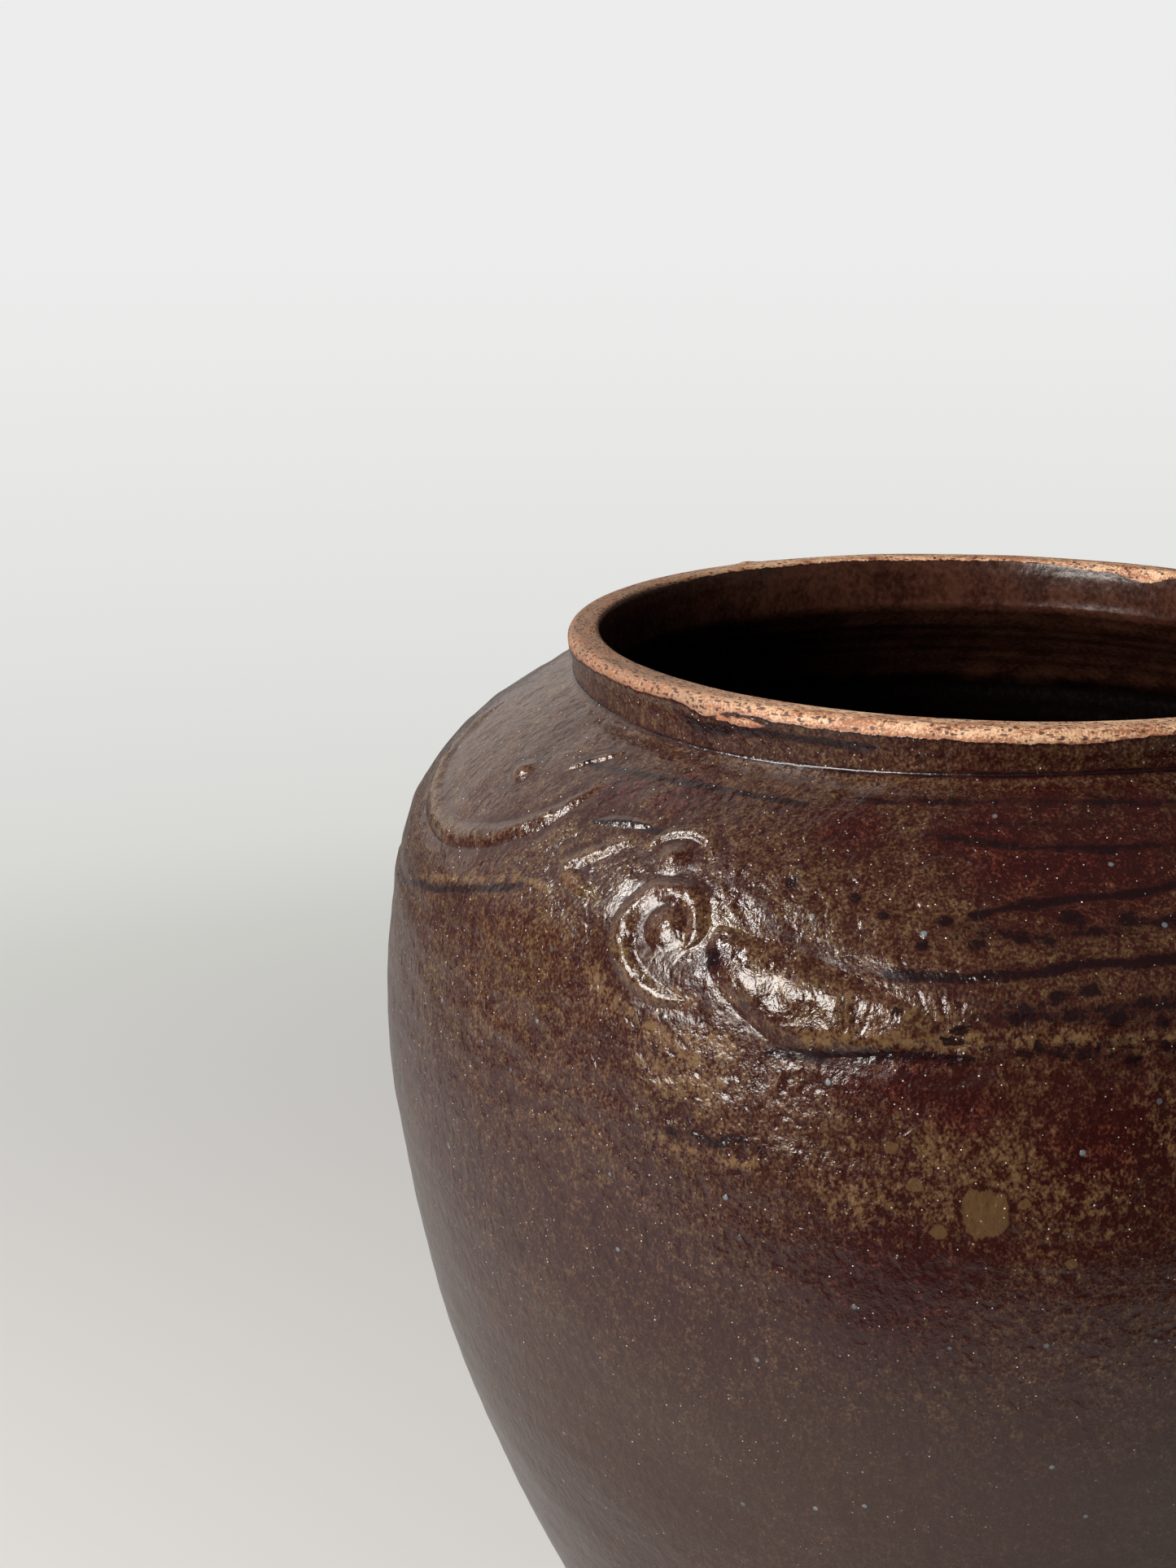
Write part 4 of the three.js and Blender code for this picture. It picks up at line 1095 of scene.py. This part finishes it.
# %% Strips and bosses
def strip_grid(route, width, rise, swell):
    """Front: route + v * half width * swell across it; height rise * swell * (1 - v**p)**2, where p is 2
    for a thin strip and up to 3 for a broad one, whose back is flatter."""
    power = np.interp(width, THIN_TO_BROAD, ROUND_TO_FLAT)
    t = np.linspace(0, 1, len(route) * 2)
    line = np.stack([np.interp(t, np.linspace(0, 1, len(route)), route[:, k]) for k in (0, 1)], -1)
    stretch = stretch_at(line[:, 1])
    tangent = np.gradient(line, axis=0) / np.stack([stretch, np.ones(len(t))], -1)
    tangent /= np.linalg.norm(tangent, axis=1, keepdims=True)
    tips = np.sqrt(np.clip(np.minimum(t, 1 - t) / TIP_SHARE, 0.001, 1))
    grown = (np.interp(t, np.linspace(0, 1, len(swell)), swell) * tips)[:, None]
    v = np.linspace(-1, 1, STRIP_COLUMNS)
    reach = grown * v * width * SPREAD / 2
    return (line[:, :1] - tangent[:, 1:] * reach * stretch[:, None], line[:, 1:] + tangent[:, :1] * reach,
            rise * grown * (1 - np.abs(v) ** power) ** 2)


def boss_grid(place, size_mm, rise):
    """A round lens: rise * (1 - q**2)**2 at the share q of its radius, on rings round its middle."""
    q = np.linspace(1, 0.02, BOSS_RINGS)[:, None]
    around = np.linspace(0, 2 * np.pi, BOSS_COLUMNS, endpoint=False)
    reach = q * size_mm * SPREAD / 2
    return (place[0] + np.cos(around) * reach * stretch_at(place[1]), place[1] + np.sin(around) * reach,
            rise * (1 - q ** 2) ** 2 + 0 * around)


sprigs = {}
for motif in range(MOTIFS):
    along = motif * MOTIF_TURN * SHEET_RADIUS
    for shapes, grid, round_closed in ((STRIPS, strip_grid, False), (BOSSES, boss_grid, True)):
        for kind, shape in shapes.items():
            node = f"{kind}_{motif + 1}"
            x, y, height = grid(*shape)
            sprigs[node] = lens_piece(f"{node}_fired", x + along, y, height, round_closed)
print("sprigs", len(sprigs), "triangles of the tail", 2 * len(sprigs["scroll_tail_1"].data.polygons))

# %% [markdown]
# ## Shared measures for the surface
# Every pattern below has a size in millimetres, judged from the photograph at the jar's scale. The shader
# works in metres, so the place of each point is first turned to millimetres. The glaze ran a little while
# it was molten, and its mottling is drawn out downwards: the place is squeezed in height before the noise
# reads it. A picture of the glaze could be wrapped round the jar, but noise has no edge and no seam.

# %% Patterns that glaze and clay share
RUN_SQUEEZE = 0.8
MM_PER_METRE = 1000
NOISE_ROUGHNESS = 0.55
DOT_BLUR = 0.35


def surface_base(tree):
    """Place in millimetres, the same drawn out downwards, and the values kept at the points."""
    place = add(tree, "VectorMath", {"operation": "SCALE"}, {0: add(tree, "TexCoord").outputs["Object"],
                                                             "Scale": MM_PER_METRE})
    run = add(tree, "VectorMath", TIMES, {0: place, 1: (1, 1, RUN_SQUEEZE)})
    kept = {name: add(tree, "Attribute", {"attribute_name": name})
            for name in ("bare", "marks", "body", "pace")}
    dark, blot, haze = add(tree, "SeparateXYZ", None, {0: kept["marks"].outputs["Vector"]}).outputs
    calm, relief, red = add(tree, "SeparateXYZ", None, {0: kept["body"].outputs["Vector"]}).outputs
    return {"place": place, "run": run, "bare": kept["bare"].outputs["Fac"],
            "pace": kept["pace"].outputs["Vector"], "dark": dark, "blot": blot, "haze": haze,
            "calm": calm, "relief": relief, "red": red}


def mottle(tree, where, size_mm, low=0.3, high=0.7, detail=3.0):
    """Noise of a size in millimetres, stretched so that low to high fills 0 to 1."""
    noise = add(tree, "TexNoise", None, {"Vector": where, "Scale": 1 / size_mm, "Detail": detail,
                                         "Roughness": NOISE_ROUGHNESS})
    return add(tree, "MapRange", None, {"Value": noise, "From Min": low, "From Max": high})


def weighed(tree, *parts):
    """The sum of the patterns, each times its weight."""
    total = 0.0
    for pattern, weight in parts:
        total = add(tree, "Math", TIMES_PLUS, {0: pattern, 1: weight, 2: total})
    return total


def layered(tree, colour, *layers):
    """Lays colours over a colour, one after the other. Each comes in by an even S while its pattern goes
    from low to high, and covers as much as its strength says."""
    for pattern, low, high, strength, shade in layers:
        share = add(tree, "MapRange", EVEN_S, {"Value": pattern, "From Min": low, "From Max": high,
                                               "To Max": strength})
        colour = add(tree, "Mix", COLOURS, {0: share, 6: colour, 7: shade})
    return colour


def dots(tree, where, spacing_mm, radius_mm, rare):
    """Round dots in cells: 1 within the radius of each cell's random point, times how far the cell's own
    random number lies above rare."""
    cell = add(tree, "TexVoronoi", None, {"Vector": where, "Scale": 1 / spacing_mm})
    own = add(tree, "SeparateXYZ", None, {0: cell.outputs["Color"]}).outputs["X"]
    edge = radius_mm / spacing_mm
    inside_dot = add(tree, "MapRange", EVEN_S, {"Value": cell, "From Min": (1 + DOT_BLUR) * edge,
                                                "From Max": (1 - DOT_BLUR) * edge})
    chosen = add(tree, "MapRange", None, {"Value": own, "From Min": rare, "From Max": 1.0})
    return add(tree, "Math", TIMES, {0: inside_dot, 1: chosen})


print("squeeze", RUN_SQUEEZE)

# %% [markdown]
# ## Iron-brown glaze
# A ferruginous ash glaze, poured over stoneware and fired in a wood kiln: about a tenth of it is iron.
# It is glassy, and its iron lifts the index to about 1.6, but its surface is full of tiny crystals, so
# that its gloss is soft. Where it is thin over a ridge it breaks to tan, and where it gathers it is maroon
# to black. Each of these colours could be painted by hand; here one value, how thin the glaze lies, runs
# through them.

# %% Colours and sizes of the glaze
GLAZE_DEEP, GLAZE_BROWN = linear("2a0d0a"), linear("3b2117")
GLAZE_TAN, GLAZE_OLIVE = linear("664a36"), linear("5e4c2f")
RED_DEEP, RED_BROWN = linear("280908"), linear("481a14")
GLAZE_CALM, GLAZE_BLACK = linear("3d2d26"), linear("150306")
GLAZE_OCHRE, GLAZE_BLOT = linear("6a5136"), linear("5d462c")
# The sparkle colour is for painted glints: near-white dots that stand in for light glinting on tiny crystals.
SPECK_GREY, PAINTED_GLINT = linear("7f8c94"), linear("f0ebe0")
FINE_MM, CELL_MM, DROP_MM, CLOUD_MM, TINT_MM, PIT_MM = 0.6, 1.35, 4.5, 24.0, 14.0, 3.0
PAINTED_TOP_LIGHT_FROM_MM, PAINTED_TOP_LIGHT_TO_MM = 222.0, 250.0
RING_MM, RING_MIDDLE, STREAK_MM = 2.4, 0.38, 2.2
SPECK_SPACING_MM, SPECK_RADIUS_MM = 9.5, 0.62
GLINT_SPACING_MM, GLINT_RADIUS_MM = 1.4, 0.16
print("glaze colours", GLAZE_DEEP[:3])

# %% Glaze colour
def glaze_colour(tree, base):
    """The thin share is a sum of noise of four sizes, pits, curdled cells, the relief and the marks, and is
    a little larger high on the shoulder, which paints light from above there; the pits lower it, as painted
    shade in them. It runs through deep, brown and tan. The calm wall below, ochre, the dark marks, the
    blots, specks and painted glints of near-white lie over it. Pits and painted glints fade on the calm wall."""
    fine = mottle(tree, base["run"], FINE_MM, 0.34, 0.68, 2.0)
    cells = mottle(tree, base["run"], CELL_MM, 0.33, 0.68)
    drops = mottle(tree, base["run"], DROP_MM, 0.35, 0.68)
    clouds = mottle(tree, base["run"], CLOUD_MM, 0.35, 0.65)
    tint = mottle(tree, base["place"], TINT_MM, 0.38, 0.62)
    streaks = mottle(tree, base["pace"], STREAK_MM, 0.35, 0.68)
    curd = add(tree, "TexVoronoi", None, {"Vector": base["place"], "Scale": 1 / RING_MM})
    curd = add(tree, "Math", MINUS, {0: RING_MIDDLE, 1: curd})
    curdled = add(tree, "Math", TIMES, {0: curd, 1: base["haze"]})
    lively = add(tree, "Math", MINUS, {0: 1.0, 1: base["calm"]})
    # The pits are dents in the bump; the darker colour they give the thin share is painted shade in them.
    pits = add(tree, "Math", TIMES, {0: lively, 1: mottle(tree, base["run"], PIT_MM, 0.54, 0.7, 1.5)})
    # Higher up the thin share grows and the colour turns lighter: painted light from above.
    up = add(tree, "SeparateXYZ", None, {0: base["place"]}).outputs["Z"]
    high = add(tree, "MapRange", EVEN_S, {"Value": up, "From Min": PAINTED_TOP_LIGHT_FROM_MM, "From Max": PAINTED_TOP_LIGHT_TO_MM})
    thin = weighed(tree, (high, 0.09), (1.0, -0.02), (pits, -0.2), (fine, 0.46), (cells, 0.34),
                   (drops, 0.16), (clouds, 0.12), (curd, 0.12), (curdled, 0.5), (base["relief"], 0.14),
                   (base["haze"], 0.1), (base["red"], -0.26))
    redness = weighed(tree, (base["red"], 1.0), (drops, 0.2), (streaks, 0.4))
    redness = add(tree, "MapRange", EVEN_S, {"Value": redness, "From Min": 0.5, "From Max": 1.3})
    deep = add(tree, "Mix", COLOURS, {0: redness, 6: GLAZE_DEEP, 7: RED_DEEP})
    brown = add(tree, "Mix", COLOURS, {0: redness, 6: GLAZE_BROWN, 7: RED_BROWN})
    tan = add(tree, "Mix", COLOURS, {0: tint, 6: GLAZE_TAN, 7: GLAZE_OLIVE})
    ochre = add(tree, "Math", TIMES, {0: base["haze"], 1: thin})
    edge = weighed(tree, (base["blot"], 1.0), (cells, 0.1), (drops, 0.2))
    torn = weighed(tree, (base["dark"], 1.0), (fine, 0.26), (cells, 0.42), (streaks, 0.32))
    speck = dots(tree, base["place"], SPECK_SPACING_MM, SPECK_RADIUS_MM, -0.3)
    # Painted glints: near-white dots in the colour, standing in for light glinting on tiny crystals.
    painted_glint = dots(tree, base["place"], GLINT_SPACING_MM, GLINT_RADIUS_MM, 0.4)
    glint_share = weighed(tree, (lively, 0.35), (drops, 0.5), (base["calm"], 0.1))
    painted_glint = add(tree, "Math", TIMES, {0: painted_glint, 1: glint_share})
    colour = layered(tree, deep, (thin, 0.3, 0.6, 1.0, brown), (thin, 0.52, 1.0, 1.0, tan),
                     (base["calm"], 0.0, 1.0, 0.6, GLAZE_CALM), (ochre, 0.2, 0.8, 0.75, GLAZE_OCHRE),
                     (torn, 1.0, 1.18, 0.97, GLAZE_BLACK), (edge, 0.52, 0.62, 0.7, deep),
                     (edge, 0.64, 0.72, 0.66, GLAZE_BLOT), (speck, 0.1, 0.9, 0.6, SPECK_GREY),
                     (painted_glint, 0.0, 0.8, 0.9, PAINTED_GLINT))
    return colour, fine, cells, drops, speck, pits


print("thinner glaze from", PAINTED_TOP_LIGHT_FROM_MM, "to", PAINTED_TOP_LIGHT_TO_MM, "mm up")

# %% [markdown]
# ## Bare clay
# The lip was wiped clean before firing, so that the jar would not stick to its neighbour in the kiln. The
# fired clay is salmon to buff, dry and matt, with short iron dashes that the wiping sponge drew out round
# the lip. Matt clay could have no highlight at all, but fired clay has a weak one.

# %% Colours and sizes of the clay
CLAY_SALMON, CLAY_BUFF = linear("9a6242"), linear("dab592")
# The smoked colour is painted shade: it darkens the clay of the lip towards one side.
CLAY_IRON, CLAY_FLASH, CLAY_PAINTED_SHADE = linear("38140f"), linear("8f4f35"), linear("765640")
CLAY_CLOUD_MM, GRAIN_MM = 3.0, 0.5
DASH_MM, DASH_WIDE_MM, DOT_MM, DOT_WIDE_MM = 0.85, 0.24, 1.5, 0.42
CLAY_SHADE_FROM_MM, CLAY_SHADE_TO_MM = -35, -92
print("clay colours", CLAY_SALMON[:3])

# %% Clay colour
def clay_colour(tree, base):
    """Buff and salmon clouds, darker towards one side as painted shade, with iron dashes from cells along
    the pace and round iron dots."""
    clouds = mottle(tree, base["pace"], CLAY_CLOUD_MM, 0.35, 0.65)
    grain = mottle(tree, base["place"], GRAIN_MM, 0.35, 0.65, 2.0)
    pale = weighed(tree, (clouds, 0.5), (grain, 0.5))
    left = add(tree, "SeparateXYZ", None, {0: base["place"]}).outputs["X"]
    shade_side = add(tree, "MapRange", EVEN_S, {"Value": left, "From Min": CLAY_SHADE_FROM_MM, "From Max": CLAY_SHADE_TO_MM})
    painted_shade = add(tree, "Math", TIMES, {0: shade_side, 1: weighed(tree, (clouds, 0.6), (1.0, 0.4))})
    dash = dots(tree, base["pace"], DASH_MM, DASH_WIDE_MM, -0.4)
    dot = dots(tree, base["place"], DOT_MM, DOT_WIDE_MM, 0.0)
    return layered(tree, CLAY_SALMON, (pale, 0.22, 0.8, 1.0, CLAY_BUFF),
                   (painted_shade, 0.0, 1.0, 0.95, CLAY_PAINTED_SHADE), (dash, 0.05, 0.5, 0.85, CLAY_IRON),
                   (dot, 0.1, 0.45, 0.85, CLAY_IRON))


print("smoke from", CLAY_SHADE_FROM_MM, "to", CLAY_SHADE_TO_MM, "mm aside")

# %% [markdown]
# ## The glazed outside
# Glaze and bare clay are one material here, because the same pieces carry both. The signed distance to
# the glaze line, roughened by noise, decides between them. Along the line the glaze rolled up into a
# dark crusty bead, so the same distance also gives the bead its colour and its height.

# %% Edge of the glaze
EDGE_NOISE_MM, EDGE_RAGGED_MM = 2.4, 0.45
# Millimetres past the line at which bare clay, the bead and the flashed clay start and are whole
BARE_EDGE, BEAD_EDGE, FLASH_EDGE = (-0.15, 0.12), (-0.9, -0.2), (0.9, 0.0)


def edge_values(tree, base):
    """The shares of bare clay, the dark bead and the flashed clay, from the ragged distance to the line."""
    noise = mottle(tree, base["place"], EDGE_NOISE_MM, 0.2, 0.8)
    edge = weighed(tree, (noise, 2 * EDGE_RAGGED_MM), (1.0, -EDGE_RAGGED_MM), (base["bare"], 1.0))
    return [add(tree, "MapRange", EVEN_S, {"Value": edge, "From Min": start_mm, "From Max": end_mm})
            for start_mm, end_mm in (BARE_EDGE, BEAD_EDGE, FLASH_EDGE)]


print("edge ragged by", EDGE_RAGGED_MM)

# %% Outside material
# Real crystals are finer than this and wouldn't show at this distance.
CRYSTAL_MM, SKIN_MM = 0.45, 2.6
GLAZE_INDEX = 1.6
POOL_SMOOTHED = 0.4
outside_glaze, tree, output = new_material("iron_brown_stoneware_glaze")
base = surface_base(tree)
glaze, fine, cells, drops, speck, pits = glaze_colour(tree, base)
clay = clay_colour(tree, base)
bare, bead, flash = edge_values(tree, base)
glaze = layered(tree, glaze, (bead, 0.0, 1.0, 0.45, GLAZE_BLACK))
clay = layered(tree, clay, (flash, 0.0, 1.0, 0.5, CLAY_FLASH))
colour = add(tree, "Mix", COLOURS, {0: bare, 6: glaze, 7: clay})
roughness = weighed(tree, (fine, 0.10), (drops, 0.06), (base["relief"], -0.03), (bare, 0.45), (1.0, 0.13))
crystal = mottle(tree, base["place"], CRYSTAL_MM, 0.0, 1.0, 1.0)
orange_skin = mottle(tree, base["run"], SKIN_MM, 0.0, 1.0, 2.0)
height = weighed(tree, (crystal, 0.06), (orange_skin, 0.26), (cells, 0.05), (pits, -0.13), (speck, 0.2),
                 (bead, 0.14), (bare, -0.14))
firm = add(tree, "MapRange", None, {"Value": base["relief"], "From Min": -0.9, "From Max": 0.0,
                                    "To Min": POOL_SMOOTHED})
grooves = add(tree, "Bump", None, {"Strength": firm, "Distance": MM, "Height": height})
shader = add(tree, "BsdfPrincipled", None, {"Base Color": colour, "Roughness": roughness, "IOR": GLAZE_INDEX,
                                            "Normal": grooves})
tree.links.new(shader.outputs["BSDF"], output.inputs["Surface"])
print("outside material nodes", len(tree.nodes))

# %% [markdown]
# ## The dark inside
# Inside, the glaze is a dark brown. The first four centimetres below the lip stay brown, and below them
# a painted shadow turns it nearly black. The outer glaze could be used here too, but its marks and its
# tan would show in the dark. The rings of the potter's fingers show as faint waves in its reflections.

# %% Inside material
# The black colour below the brown band is a painted shadow.
INSIDE_DARK, INSIDE_BROWN, INSIDE_PAINTED_SHADOW = linear("2a140e"), linear("4e3024"), linear("080302")
PAINTED_SHADOW_LOW_MM, PAINTED_SHADOW_HIGH_MM = 273.0, 279.0
INSIDE_CLOUD_MM, INSIDE_FINE_MM, INSIDE_SKIN_MM = 9.0, 1.3, 3.0
INSIDE_INDEX = 1.52
inside_glaze, tree, output = new_material("dark_inner_glaze")
base = surface_base(tree)
clay = clay_colour(tree, base)
bare, bead, _ = edge_values(tree, base)
clouds = mottle(tree, base["run"], INSIDE_CLOUD_MM)
fine = mottle(tree, base["run"], INSIDE_FINE_MM)
brown_share = weighed(tree, (clouds, 0.5), (fine, 0.5))
level = weighed(tree, (add(tree, "SeparateXYZ", None, {0: base["place"]}).outputs["Z"], 1.0), (clouds, 2.0))
colour = layered(tree, INSIDE_DARK, (brown_share, 0.1, 0.9, 0.85, INSIDE_BROWN),
                 (level, PAINTED_SHADOW_HIGH_MM, PAINTED_SHADOW_LOW_MM, 1.0, INSIDE_PAINTED_SHADOW),
                 (bead, 0.0, 1.0, 0.5, GLAZE_DEEP))
colour = add(tree, "Mix", COLOURS, {0: bare, 6: colour, 7: clay})
roughness = weighed(tree, (bare, 0.45), (fine, 0.1), (1.0, 0.2))
skin_noise = mottle(tree, base["place"], INSIDE_SKIN_MM, 0.0, 1.0)
grooves = add(tree, "Bump", None, {"Distance": MM, "Height": weighed(tree, (skin_noise, 0.12), (fine, 0.02))})
shader = add(tree, "BsdfPrincipled", None, {"Base Color": colour, "Roughness": roughness, "IOR": INSIDE_INDEX,
                                            "Normal": grooves})
tree.links.new(shader.outputs["BSDF"], output.inputs["Surface"])
print("inside material nodes", len(tree.nodes))

# %% [markdown]
# ## Dress the pieces
# Each fired piece takes the place of its imported node and rides on the same body. The slot names in the
# loop sort the pieces: the inner coils carry the inner glaze only, and the others both glazes.

# %% Materials, bodies and slots
BROWN_NODES = {"lower_wall": lower_wall, "belly_wall": belly_wall, "shoulder_dome": shoulder_dome,
               "neck_collar": neck_collar, "neck_luting_coil": luting_coil, **sprigs}
INNER_NODES = {"base_seam_coil": base_coil, "belly_seam_coil": belly_coil,
               "shoulder_seam_coil": shoulder_coil}
CLAY_NODES = {"base_disc": base_disc, "mouth_lip": mouth_lip}
for slot, nodes in (("brown_glaze", BROWN_NODES), ("inside_glaze", INNER_NODES), ("bare_clay", CLAY_NODES)):
    for node, piece in nodes.items():
        if slot == "inside_glaze":
            piece.data.polygons.foreach_set("material_index", np.zeros(len(piece.data.polygons), np.int32))
            piece.data.materials.append(inside_glaze)
        else:
            piece.data.materials.append(outside_glaze)
            piece.data.materials.append(inside_glaze)
        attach(piece, "root")
        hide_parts(node)
print("pieces", len(BROWN_NODES) + len(INNER_NODES) + len(CLAY_NODES))

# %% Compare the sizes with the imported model, and finish
new_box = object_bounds()
for title, box in (("CAD box", cad_box), ("dressed", new_box)):
    print(title, [[round(v, 4) for v in corner] for corner in box])
